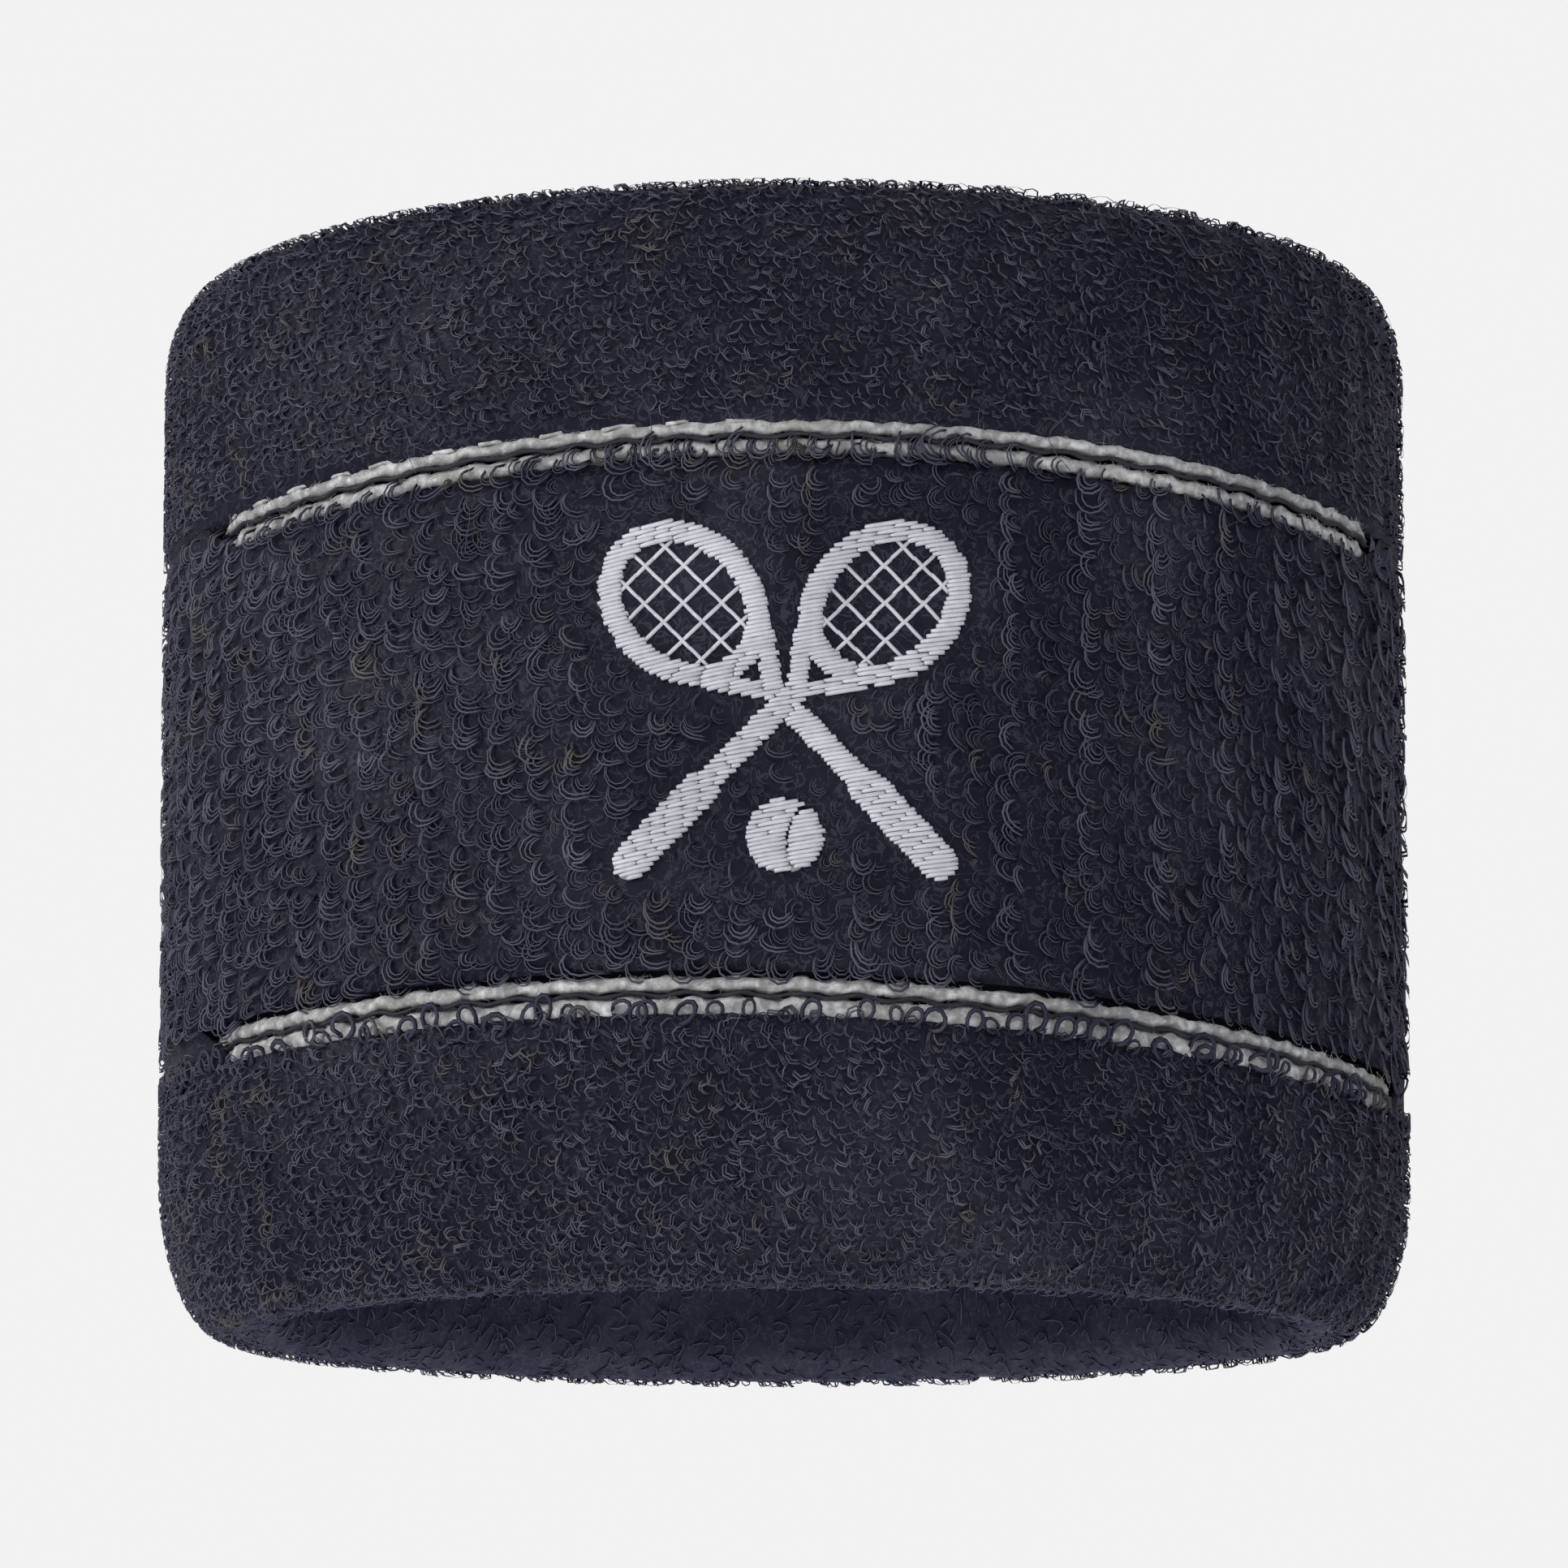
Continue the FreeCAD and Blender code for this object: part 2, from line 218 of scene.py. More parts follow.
class MotifSizes(PropertyGroup):
    """Sizes of the crossed rackets and the ball, as in the design."""

    tilt: FloatProperty(name="Tilt", description="Tilt of each racket", default=math.radians(44),
                        subtype="ANGLE")
    head_width: length("Head width", "Width of a racket's head", 9.4 * MM)
    head_length: length("Head length", "Length of a racket's head", 11.6 * MM)
    head_offset: length("Head offset", "From the crossing to the centre of a head", 9.0 * MM)
    frame_width: length("Frame width", "Width of the frame's stitching", 1.3 * MM)
    shaft_width: length("Shaft width", "Width of the shaft", 1.4 * MM)
    grip_width: length("Grip width", "Width of the grip", 2.2 * MM)
    grip_start: length("Grip start", "From the crossing to the grip", 7.4 * MM)
    grip_end: length("Grip end", "From the crossing to the butt", 14.8 * MM)
    throat_spread: length("Throat spread", "Half the width of the throat where it meets the head", 2.3 * MM)
    throat_width: length("Throat width", "Width of each arm of the throat", 1.0 * MM)
    string_pitch: length("String pitch", "Distance between strings", 1.7 * MM)
    ball_width: length("Ball width", "Width of the ball", 4.6 * MM)
    ball_drop: length("Ball drop", "From the crossing down to the ball", 8.4 * MM)
    stitch_pitch: length("Stitch pitch", "Distance between neighbouring stitches", 0.27 * MM)
    stitch_length: length("Stitch length", "Longest stitch before the needle goes down again", 2.1 * MM)
    hatch: FloatProperty(name="Stitch slope", description="Slope of the fill stitches",
                         default=math.radians(12), subtype="ANGLE")


class WristbandSettings(PropertyGroup):
    """Everything that the wristband's operators read."""

    shape: PointerProperty(type=BandShape)
    middle: PointerProperty(type=PileStyle)
    fine: PointerProperty(type=PileStyle)
    lining: PointerProperty(type=PileStyle)
    edge: PointerProperty(type=PileStyle)
    colours: PointerProperty(type=YarnColours)
    motif: PointerProperty(type=MotifSizes)


def settings():
    return bpy.context.scene.wristband


def set_styles():
    """Gives the finer kinds of pile their own sizes, where they differ from the middle zone's."""
    for kind, sizes in STYLES.items():
        for size, value in sizes.items():
            setattr(getattr(settings(), kind), size, value)


# ---------------------------------------------------------------- shape of the wall


class Section:
    """The closed outline of the folded wall at one depth below the pile's tips.

    It starts at the closing seam on the wrist side and runs up the lining, over the top fold, down the
    outer wall and under the base fold. A point is (inset from the outer face, height).
    """

    CORNER_STEPS = 14

    def __init__(self, depth):
        shape = settings().shape
        least = 0.3 * MM
        seam = centre_height("closing_seam_thread")
        outer, inner = depth, shape.wall - depth
        low, high = depth, HEIGHT - depth
        lining = max(shape.lining_round - depth, least)
        top, top_tall = (max(r - depth, least) for r in (shape.top_round, shape.top_round_height))
        base, base_tall = (max(r - depth, least) for r in (shape.base_round, shape.base_round_height))
        points = [(inner, seam)]
        points += self.corner(inner - lining, high - lining, lining, lining, 0)
        points += self.corner(outer + top, high - top_tall, top, top_tall, 1)
        self.outer_from = len(points) - 1
        points += self.corner(outer + base, low + base_tall, base, base_tall, 2)
        points += self.corner(inner - lining, low + lining, lining, lining, 3)
        points += [(inner, seam)]
        self.points = points
        self.at = [0.0]
        for a, b in zip(points, points[1:]):
            self.at.append(self.at[-1] + math.dist(a, b))
        self.total = self.at[-1]

    def corner(self, inset, height, wide, tall, quarter):
        angles = [(quarter + i / self.CORNER_STEPS) * math.pi / 2 for i in range(self.CORNER_STEPS + 1)]
        return [(inset + wide * math.cos(a), height + tall * math.sin(a)) for a in angles]

    def place(self, along):
        """The point at a distance along the outline."""
        along = clamped(along, 0.0, self.total)
        i = min(bisect_right(self.at, along) - 1, len(self.at) - 2)
        share = (along - self.at[i]) / max(self.at[i + 1] - self.at[i], 1e-9)
        a, b = self.points[i], self.points[i + 1]
        return a[0] + (b[0] - a[0]) * share, a[1] + (b[1] - a[1]) * share

    def outer(self, height):
        """The distance along the outline at which the outer wall passes a height."""
        for i in range(self.outer_from, len(self.points) - self.CORNER_STEPS - 2):
            upper, lower = self.points[i][1], self.points[i + 1][1]
            if upper >= height >= lower:
                share = (upper - height) / max(upper - lower, 1e-9)
                return self.at[i] + share * (self.at[i + 1] - self.at[i])
        raise ValueError(f"the outer wall doesn't pass {height}")

    def crest(self, top):
        """The distance along the outline of the middle of the top or base fold."""
        start, end = (0, self.outer_from) if top else (self.outer_from, len(self.points) - 1)
        height = max(p[1] for p in self.points) if top else min(p[1] for p in self.points)
        level = [self.at[i] for i in range(start, end) if abs(self.points[i][1] - height) < 1e-7]
        return (min(level) + max(level)) / 2


@lru_cache(maxsize=None)
def section(depth):
    return Section(depth)


@lru_cache(maxsize=None)
def stations():
    """Heights on the wall, with the bow and the tilt of the courses at each."""
    shape = settings().shape
    return ([0.0, centre_height("lower_channel_upper_stripe"), centre_height("upper_channel_upper_stripe"),
             HEIGHT],
            [0.0, shape.bow_lower, shape.bow_upper, shape.bow_top],
            [0.0, shape.tilt_lower, shape.tilt_upper, shape.tilt_top])


def lie(theta, height):
    """How far a course stands above its place in the design, because the soft band bows and tilts."""
    heights, bows, tilts = stations()
    return (np.interp(height, heights, bows) * (np.cos(theta) ** 2 - 0.5)
            + np.interp(height, heights, tilts) * np.sin(theta))


def band_place(theta, inset, height):
    """Where an angle round the band, 0 at the front, an inset into the wall and a height come to lie."""
    spread = 1 + settings().shape.flare * (height / HEIGHT - 0.5)
    return ((HALF_WIDTH - inset) * spread * np.sin(theta), (inset - HALF_DEPTH) * spread * np.cos(theta),
            height + lie(theta, height))


def band_point(theta, inset, height):
    return Vector(band_place(theta, inset, height))


def surface_frame(outline, theta, along):
    """The point and the directions across, up the outline and outwards at one place of an outline."""
    small, nudge = 0.2 * MM, 0.004
    here = band_point(theta, *outline.place(along))
    before, after = (band_point(theta, *outline.place(along + d)) for d in (small, -small))
    across = (band_point(theta + nudge, *outline.place(along))
              - band_point(theta - nudge, *outline.place(along))).normalized()
    up = (after - before).normalized()
    out = across.cross(up).normalized()
    return here, across, out.cross(across), out


def even_angles(count, inset, start=0.0):
    """Angles that step evenly round the oval of one inset, measured along its edge."""
    wide, deep, fine = HALF_WIDTH - inset, HALF_DEPTH - inset, 720
    at = [0.0]
    for i in range(fine):
        middle = (i + 0.5) / fine * FULL_TURN
        at.append(at[-1] + math.hypot(wide * math.cos(middle), deep * math.sin(middle)))
    angles, i = [], 0
    for k in range(count):
        goal = (k + start) % count / count * at[-1]
        i = 0 if goal < at[i] else i
        while at[i + 1] < goal:
            i += 1
        angles.append((i + (goal - at[i]) / (at[i + 1] - at[i])) / fine * FULL_TURN)
    return angles


def girth(inset):
    wide, deep = HALF_WIDTH - inset, HALF_DEPTH - inset
    return math.pi * (3 * (wide + deep) - math.sqrt((3 * wide + deep) * (wide + 3 * deep)))


class Wrapping:
    """Lays a flat-made piece round the band.

    In the flat, x is the distance round the outer face from the front, y is minus the distance along the
    outline from the seam, and z is minus the depth below the tips of the pile.
    """

    FINE = 3000

    def __init__(self):
        outline = section(0.0)
        self.at = np.linspace(0, outline.total, self.FINE)
        self.inset, self.height = np.array([outline.place(at) for at in self.at]).T
        slope = np.hypot(np.gradient(self.inset), np.gradient(self.height))
        self.inwards = -np.gradient(self.height) / slope, np.gradient(self.inset) / slope
        self.theta = np.linspace(0, FULL_TURN, self.FINE)
        steps = np.hypot(HALF_WIDTH * np.cos(self.theta), HALF_DEPTH * np.sin(self.theta))
        self.round = np.concatenate(([0], np.cumsum((steps[1:] + steps[:-1]) / 2 * self.theta[1])))
        self.girth = self.round[-1]

    def angle(self, x):
        return np.interp(x % self.girth, self.round, self.theta)

    def level(self, y, z=0.0):
        """The inset and height of a place in the flat."""
        inset = np.interp(-y, self.at, self.inset) - z * np.interp(-y, self.at, self.inwards[0])
        return inset, np.interp(-y, self.at, self.height) - z * np.interp(-y, self.at, self.inwards[1])

    def lay(self, mesh, top):
        """Moves a flat mesh onto the band, easing whatever would stand above the pile's tips down."""
        flat = np.empty(len(mesh.vertices) * 3)
        mesh.vertices.foreach_get("co", flat)
        x, y, z = flat.reshape(-1, 3).T
        z = np.where(z > -top, -top + top * np.tanh((z + top) / top), z)
        placed = np.stack(band_place(self.angle(x), *self.level(y, z)), axis=1)
        mesh.vertices.foreach_set("co", placed.ravel())
        mesh.update()


# ---------------------------------------------------------------- motif, as a flat shape


def racket_axes(side):
    tilt = settings().motif.tilt * side
    return Vector((math.sin(tilt), math.cos(tilt))), Vector((math.cos(tilt), -math.sin(tilt)))


def bar_gap(point, start, end, width):
    """How far a point lies outside a round-ended bar."""
    run = end - start
    share = clamped((point - start).dot(run) / run.length_squared)
    return (point - start - run * share).length - width / 2


def from_head(point, side):
    """A point of the motif's plane, seen from the centre of one racket's head."""
    axis, cross = racket_axes(side)
    return Vector((point.dot(cross), point.dot(axis) - settings().motif.head_offset))


def racket_gap(point, side):
    """How far a point of the motif's plane lies outside one racket. Inside, it is negative."""
    motif = settings().motif
    axis, cross = racket_axes(side)
    local = from_head(point, side)
    half_wide = (motif.head_width - motif.frame_width) / 2
    half_long = (motif.head_length - motif.frame_width) / 2
    radius = math.hypot(local.x / half_wide, local.y / half_long)
    reach = local.length
    rim = abs(reach - reach / max(radius, 1e-6)) - motif.frame_width / 2
    neck = axis * (motif.head_offset - motif.head_length / 2 - 2.2 * MM)
    gaps = [rim, bar_gap(point, neck, axis * -motif.grip_start, motif.shaft_width),
            bar_gap(point, axis * -motif.grip_start, axis * (1.1 * MM - motif.grip_end), motif.grip_width)]
    for lean in (-1, 1):
        foot = axis * (motif.head_offset - motif.head_length / 2 + 1.0 * MM)
        gaps.append(bar_gap(point, neck, foot + cross * lean * motif.throat_spread, motif.throat_width))
    return min(gaps)


def bed_reach():
    """Half the width and half the length of a string bed."""
    motif = settings().motif
    return motif.head_width / 2 - motif.frame_width, motif.head_length / 2 - motif.frame_width


def head_gap(point, side):
    """How far a point lies outside the string bed of one racket."""
    local = from_head(point, side)
    half_wide, half_long = bed_reach()
    return (math.hypot(local.x / half_wide, local.y / half_long) - 1) * half_wide


def ball_gap(point):
    motif = settings().motif
    return (point + Vector((0, motif.ball_drop))).length - motif.ball_width / 2


def motif_gap(x, z):
    """How far a place on the front lies outside the whole motif, strings included."""
    point = Vector((x, z - motif_height()))
    return min(racket_gap(point, 1), racket_gap(point, -1), ball_gap(point),
               head_gap(point, 1), head_gap(point, -1))


def motif_height():
    return centre_height("embroidery_stabiliser")


# ---------------------------------------------------------------- mesh helpers


def mesh_of(name, bm):
    mesh = bpy.data.meshes.new(name)
    bm.to_mesh(mesh)
    bm.free()
    return mesh


def finished(name, bm, material, slot, *replaced):
    """Turns a bmesh into a piece that rides with the band and stands for its CAD nodes."""
    return as_piece(name, mesh_of(name, bm), material, slot, *replaced)


def as_piece(name, mesh, material, slot, *replaced):
    mesh.polygons.foreach_set("use_smooth", [True] * len(mesh.polygons))
    mesh.materials.clear()
    mesh.materials.append(material)
    piece = bpy.data.objects.new(name, mesh)
    bpy.context.scene.collection.objects.link(piece)
    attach(piece, "root")
    if replaced:
        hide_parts(*replaced)
    return piece


def closed_tube(bm, around, across, place):
    """A tube that closes on itself both ways: place(turn, side) gives each corner, both from 0 to 1."""
    grid = bmesh.ops.create_grid(bm, x_segments=around, y_segments=across, size=1.0)
    for vert in grid["verts"]:
        turn, side = (vert.co.x + 1) / 2, (vert.co.y + 1) / 2
        vert.co = place(turn % 1.0 if turn < 1 - 1e-6 else 0.0, side % 1.0 if side < 1 - 1e-6 else 0.0)
    bmesh.ops.remove_doubles(bm, verts=bm.verts, dist=1e-7)
    bmesh.ops.recalc_face_normals(bm, faces=bm.faces)


def strand(bm, path, radius, sides, tips, layer, flank=0.1):
    """A closed strand of yarn along a path: a ring of corners, extruded from point to point.

    The top corner of each ring takes the tip value, a painted highlight; the others keep a share, painted
    shade.
    """
    def stance(i):
        ahead = (path[min(i + 1, len(path) - 1)] - path[max(i - 1, 0)]).normalized()
        rise = (Vector((0, 0, 1)) - ahead * ahead.z).normalized()
        return Matrix.Translation(path[i]) @ Matrix((rise.cross(ahead), rise, ahead)).transposed().to_4x4()

    def light(verts, i):
        # Painted highlight on the highest corner of the ring, painted shade on the others.
        ridge = max(verts, key=lambda vert: vert.co.z)
        for vert in verts:
            vert[layer] = tips[i] * (1.0 if vert is ridge else flank)

    start = bmesh.ops.create_circle(bm, segments=sides, radius=radius, matrix=stance(0))["verts"]
    ring = list(dict.fromkeys(edge for vert in start for edge in vert.link_edges))
    light(start, 0)
    bmesh.ops.contextual_create(bm, geom=ring)
    for i in range(1, len(path)):
        out = bmesh.ops.extrude_edge_only(bm, edges=ring)["geom"]
        moved = [g for g in out if isinstance(g, bmesh.types.BMVert)]
        ring = [g for g in out if isinstance(g, bmesh.types.BMEdge)]
        bmesh.ops.transform(bm, matrix=stance(i) @ stance(i - 1).inverted(), verts=moved)
        light(moved, i)
    bmesh.ops.contextual_create(bm, geom=ring)


def template(name, build):
    """A hidden object that the roots of the pile or the stitches repeat."""
    bm = bmesh.new()
    # The tip attribute holds painted highlight and painted shade for the yarn materials.
    layer = bm.verts.layers.float.new("tip")
    build(bm, layer)
    bmesh.ops.recalc_face_normals(bm, faces=bm.faces)
    mesh = mesh_of(name, bm)
    mesh.polygons.foreach_set("use_smooth", [True] * len(mesh.polygons))
    return bpy.data.objects.new(name, mesh)


def loop_template(style, seed):
    """One terry loop: strands that rise out of the cloth, bow round to a tip and go in again."""
    draw = random.Random(seed)
    wide = style.loop_width / 2 * draw.uniform(0.8, 1.15)
    long = style.loop_length * draw.uniform(0.85, 1.15)
    skew, curl = draw.uniform(-0.35, 0.35), draw.uniform(0.8, 1.05)
    opening = style.opening * draw.uniform(0.88, 1.12)
    strands = style.strands if seed % 2 else max(style.strands - 1, 1)

    def build(bm, layer):
        for number in range(strands):
            shrink = 1 - 0.2 * number + draw.uniform(-0.05, 0.05)
            sink = number * style.thickness * 0.4
            shift = Vector((draw.uniform(-0.6, 0.6), draw.uniform(-0.2, 0.8), 0)) * style.thickness
            path, tips = [], []
            for step in range(style.steps + 1):
                t = 2 * step / style.steps - 1
                angle, near = opening * t, 1 - t * t
                x = wide * shrink * math.sin(angle) + skew * wide * near
                y = -long * shrink * (math.cos(angle) - math.cos(opening)) / (1 - math.cos(opening))
                z = style.lift * (curl * (1 - abs(t) ** 3) - 0.5 * (abs(t) > 0.99)) - sink
                path.append(Vector((x, y, z)) + shift)
                # Painted highlight towards the loop's tip, painted shade towards its roots where it goes into
                # the cloth.
                tips.append(min(1.6 * near, 1.0))
            strand(bm, path, style.thickness / 2, 3, tips, layer)

    return template(f"loop_{seed}", build)


def stamp_tree():
    """Geometry nodes that stand one of the templates on each root, turned and sized as the root says."""
    name = "stand_on_roots"
    if name in bpy.data.node_groups:
        return bpy.data.node_groups[name]
    tree = bpy.data.node_groups.new(name, "GeometryNodeTree")
    tree.interface.new_socket("Geometry", in_out="INPUT", socket_type="NodeSocketGeometry")
    tree.interface.new_socket("Templates", in_out="INPUT", socket_type="NodeSocketCollection")
    tree.interface.new_socket("Geometry", in_out="OUTPUT", socket_type="NodeSocketGeometry")
    nodes, links = tree.nodes, tree.links
    start, end = nodes.new("NodeGroupInput"), nodes.new("NodeGroupOutput")
    picks = nodes.new("GeometryNodeCollectionInfo")
    picks.inputs["Separate Children"].default_value = True
    picks.inputs["Reset Children"].default_value = True
    stamp = nodes.new("GeometryNodeInstanceOnPoints")
    stamp.inputs["Pick Instance"].default_value = True
    real = nodes.new("GeometryNodeRealizeInstances")
    for attribute, kind, socket in (("kind", "INT", "Instance Index"), ("turn", "FLOAT_VECTOR", "Rotation"),
                                    ("size", "FLOAT_VECTOR", "Scale")):
        read = nodes.new("GeometryNodeInputNamedAttribute")
        read.data_type = kind
        read.inputs["Name"].default_value = attribute
        links.new(read.outputs["Attribute"], stamp.inputs[socket])
    links.new(start.outputs["Templates"], picks.inputs["Collection"])
    links.new(start.outputs["Geometry"], stamp.inputs["Points"])
    links.new(picks.outputs["Instances"], stamp.inputs["Instance"])
    links.new(stamp.outputs["Instances"], real.inputs["Geometry"])
    links.new(real.outputs["Geometry"], end.inputs["Geometry"])
    return tree


class Roots:
    """Points with the turn, size, shade and kind of what stands on them."""

    def __init__(self):
        self.bm = bmesh.new()
        layers = self.bm.verts.layers
        self.turn, self.size = layers.float_vector.new("turn"), layers.float_vector.new("size")
        self.shade, self.kind = layers.float.new("shade"), layers.int.new("kind")

    def add(self, place, turn, size, shade, kind):
        vert = self.bm.verts.new(place)
        vert[self.turn], vert[self.size] = Vector(turn), Vector(size)
        vert[self.shade], vert[self.kind] = shade, kind

    def add_framed(self, place, across, up, out, size, shade, kind):
        self.add(place, Matrix((across, up, out)).transposed().to_euler(), size, shade, kind)

    def stamped(self, name, templates):
        """The finished mesh, with a template standing on each root."""
        holder = bpy.data.objects.new(name + "_roots", mesh_of(name + "_roots", self.bm))
        kinds = bpy.data.collections.new(name + "_templates")
        for item in templates:
            kinds.objects.link(item)
        bpy.context.scene.collection.objects.link(holder)
        modifier = holder.modifiers.new("stamp", "NODES")
        modifier.node_group = stamp_tree()
        inputs = {s.name: s.identifier for s in modifier.node_group.interface.items_tree
                  if s.in_out == "INPUT"}
        modifier[inputs["Templates"]] = kinds
        depsgraph = bpy.context.evaluated_depsgraph_get()
        made = bpy.data.meshes.new_from_object(holder.evaluated_get(depsgraph), depsgraph=depsgraph)
        for kept in ("turn", "size", "kind"):
            if kept in made.attributes:
                made.attributes.remove(made.attributes[kept])
        bpy.data.objects.remove(holder)
        bpy.data.collections.remove(kinds)
        made.name = name
        return made


def thrown_away(templates):
    for item in templates:
        bpy.data.meshes.remove(item.data)


# ---------------------------------------------------------------- shader groups and materials


def new_group(name, inputs, outputs):
    group = bpy.data.node_groups.new(name, "ShaderNodeTree")
    for title, kind, default in inputs:
        socket = group.interface.new_socket(title, in_out="INPUT", socket_type=kind)
        if default is not None:
            socket.default_value = default
    for title, kind in outputs:
        group.interface.new_socket(title, in_out="OUTPUT", socket_type=kind)
    return group, group.nodes.new("NodeGroupInput"), group.nodes.new("NodeGroupOutput")


def noise_node(nodes, links, vector, scale, detail=3.0):
    made = nodes.new("ShaderNodeTexNoise")
    made.inputs["Scale"].default_value = scale
    made.inputs["Detail"].default_value = detail
    links.new(vector, made.inputs["Vector"])
    return made


def fed(links, socket, source):
    """Links a source to a socket, or sets it where the source is a plain value."""
    if isinstance(source, bpy.types.NodeSocket):
        links.new(source, socket)
    else:
        socket.default_value = source


def mix_node(nodes, links, factor, a, b):
    made = nodes.new("ShaderNodeMix")
    made.data_type = "RGBA"
    for socket, source in ((made.inputs[0], factor), (made.inputs[6], a), (made.inputs[7], b)):
        fed(links, socket, source)
    return made.outputs[2]


def maths_node(nodes, links, operation, *sources):
    made = nodes.new("ShaderNodeMath")
    made.operation = operation
    for socket, source in zip(made.inputs, sources):
        fed(links, socket, source)
    return made.outputs["Value"]


def range_node(nodes, links, value, low, high, to_low=0.0, to_high=1.0):
    made = nodes.new("ShaderNodeMapRange")
    made.inputs["From Min"].default_value, made.inputs["From Max"].default_value = low, high
    made.inputs["To Min"].default_value, made.inputs["To Max"].default_value = to_low, to_high
    links.new(value, made.inputs["Value"])
    return made.outputs["Result"]


def fibre_group():
    """Yarn of many fine fibres: a mottled colour from dark to light, and the relief of the fibres."""
    name = "yarn_fibres"
    if name in bpy.data.node_groups:
        return bpy.data.node_groups[name]
    group, start, end = new_group(
        name,
        [("Dark", "NodeSocketColor", None), ("Light", "NodeSocketColor", None),
         ("Worn", "NodeSocketColor", None), ("Lightness", "NodeSocketFloat", 0.5),
         ("Wear", "NodeSocketFloat", 0.5), ("Fleck", "NodeSocketFloat", 0.0),
         ("Curl", "NodeSocketFloat", 0.0), ("Relief", "NodeSocketFloat", 0.3)],
        [("Color", "NodeSocketColor"), ("Roughness", "NodeSocketFloat"), ("Normal", "NodeSocketVector")])
    nodes, links, given = group.nodes, group.links, start.outputs
    place = nodes.new("ShaderNodeTexCoord").outputs["Object"]
    fibres, patches, worn, flecks, lines = (
        noise_node(nodes, links, place, scale, detail)
        for scale, detail in ((4200.0, 3.0), (90.0, 4.0), (320.0, 3.0), (1700.0, 3.0), (900.0, 2.0)))
    lines.inputs["Distortion"].default_value = 1.2

    # Lightness drifts in wide patches, then takes flecks, then the thin lines of curled fibres.
    patch = range_node(nodes, links, patches.outputs["Fac"], 0.3, 0.7, -0.22, 0.22)
    level = maths_node(nodes, links, "ADD", given["Lightness"], patch)
    fleck = range_node(nodes, links, flecks.outputs["Fac"], 0.3, 0.7, -1.0, 0.4)
    level = maths_node(nodes, links, "MULTIPLY_ADD", fleck, given["Fleck"], level)
    line = maths_node(nodes, links, "COMPARE", lines.outputs["Fac"], 0.5, 0.028)
    level = maths_node(nodes, links, "MULTIPLY_ADD", line, given["Curl"], level)
    base = mix_node(nodes, links, range_node(nodes, links, level, 0.0, 1.0), given["Dark"], given["Light"])
    mask = maths_node(nodes, links, "MULTIPLY", range_node(nodes, links, worn.outputs["Fac"], 0.57, 0.7),
                      given["Wear"])
    links.new(mix_node(nodes, links, mask, base, given["Worn"]), end.inputs["Color"])
    links.new(range_node(nodes, links, fibres.outputs["Fac"], 0.3, 0.7, 0.48, 0.72), end.inputs["Roughness"])
    bump = nodes.new("ShaderNodeBump")
    bump.inputs["Distance"].default_value = 0.05 * MM
    links.new(given["Relief"], bump.inputs["Strength"])
    links.new(fibres.outputs["Fac"], bump.inputs["Height"])
    links.new(bump.outputs["Normal"], end.inputs["Normal"])
    return group


def yarn_material(name, dark, light, worn, wear=0.0, relief=0.3, specular=0.3, tips=None, fleck=0.0, curl=0.0,
                  lightness=0.5):
    """A yarn. With a range of tips, its lightness follows the tip and shade attributes, as painted highlight
    and shade.
    """
    material = bpy.data.materials.new(name)
    material.use_nodes = True
    nodes, links = material.node_tree.nodes, material.node_tree.links
    shader = nodes["Principled BSDF"]
    shader.inputs["Specular IOR Level"].default_value = specular
    fibres = nodes.new("ShaderNodeGroup")
    fibres.node_tree = fibre_group()
    for socket, value in (("Dark", dark), ("Light", light), ("Worn", worn)):
        fibres.inputs[socket].default_value = (*value, 1.0)
    for socket, value in (("Wear", wear), ("Relief", relief), ("Fleck", fleck), ("Curl", curl),
                          ("Lightness", lightness)):
        fibres.inputs[socket].default_value = value
    if tips:
        tip, shade = nodes.new("ShaderNodeAttribute"), nodes.new("ShaderNodeAttribute")
        tip.attribute_name, shade.attribute_name = "tip", "shade"
        # Lightness from the tip attribute: painted highlight on strand tops and loop tips, painted shade on
        # flanks and roots.
        lit = range_node(nodes, links, tip.outputs["Fac"], *tips)
        links.new(maths_node(nodes, links, "MULTIPLY", lit, shade.outputs["Fac"]),
                  fibres.inputs["Lightness"])
    for socket, target in (("Color", "Base Color"), ("Roughness", "Roughness"), ("Normal", "Normal")):
        links.new(fibres.outputs[socket], shader.inputs[target])
    return material


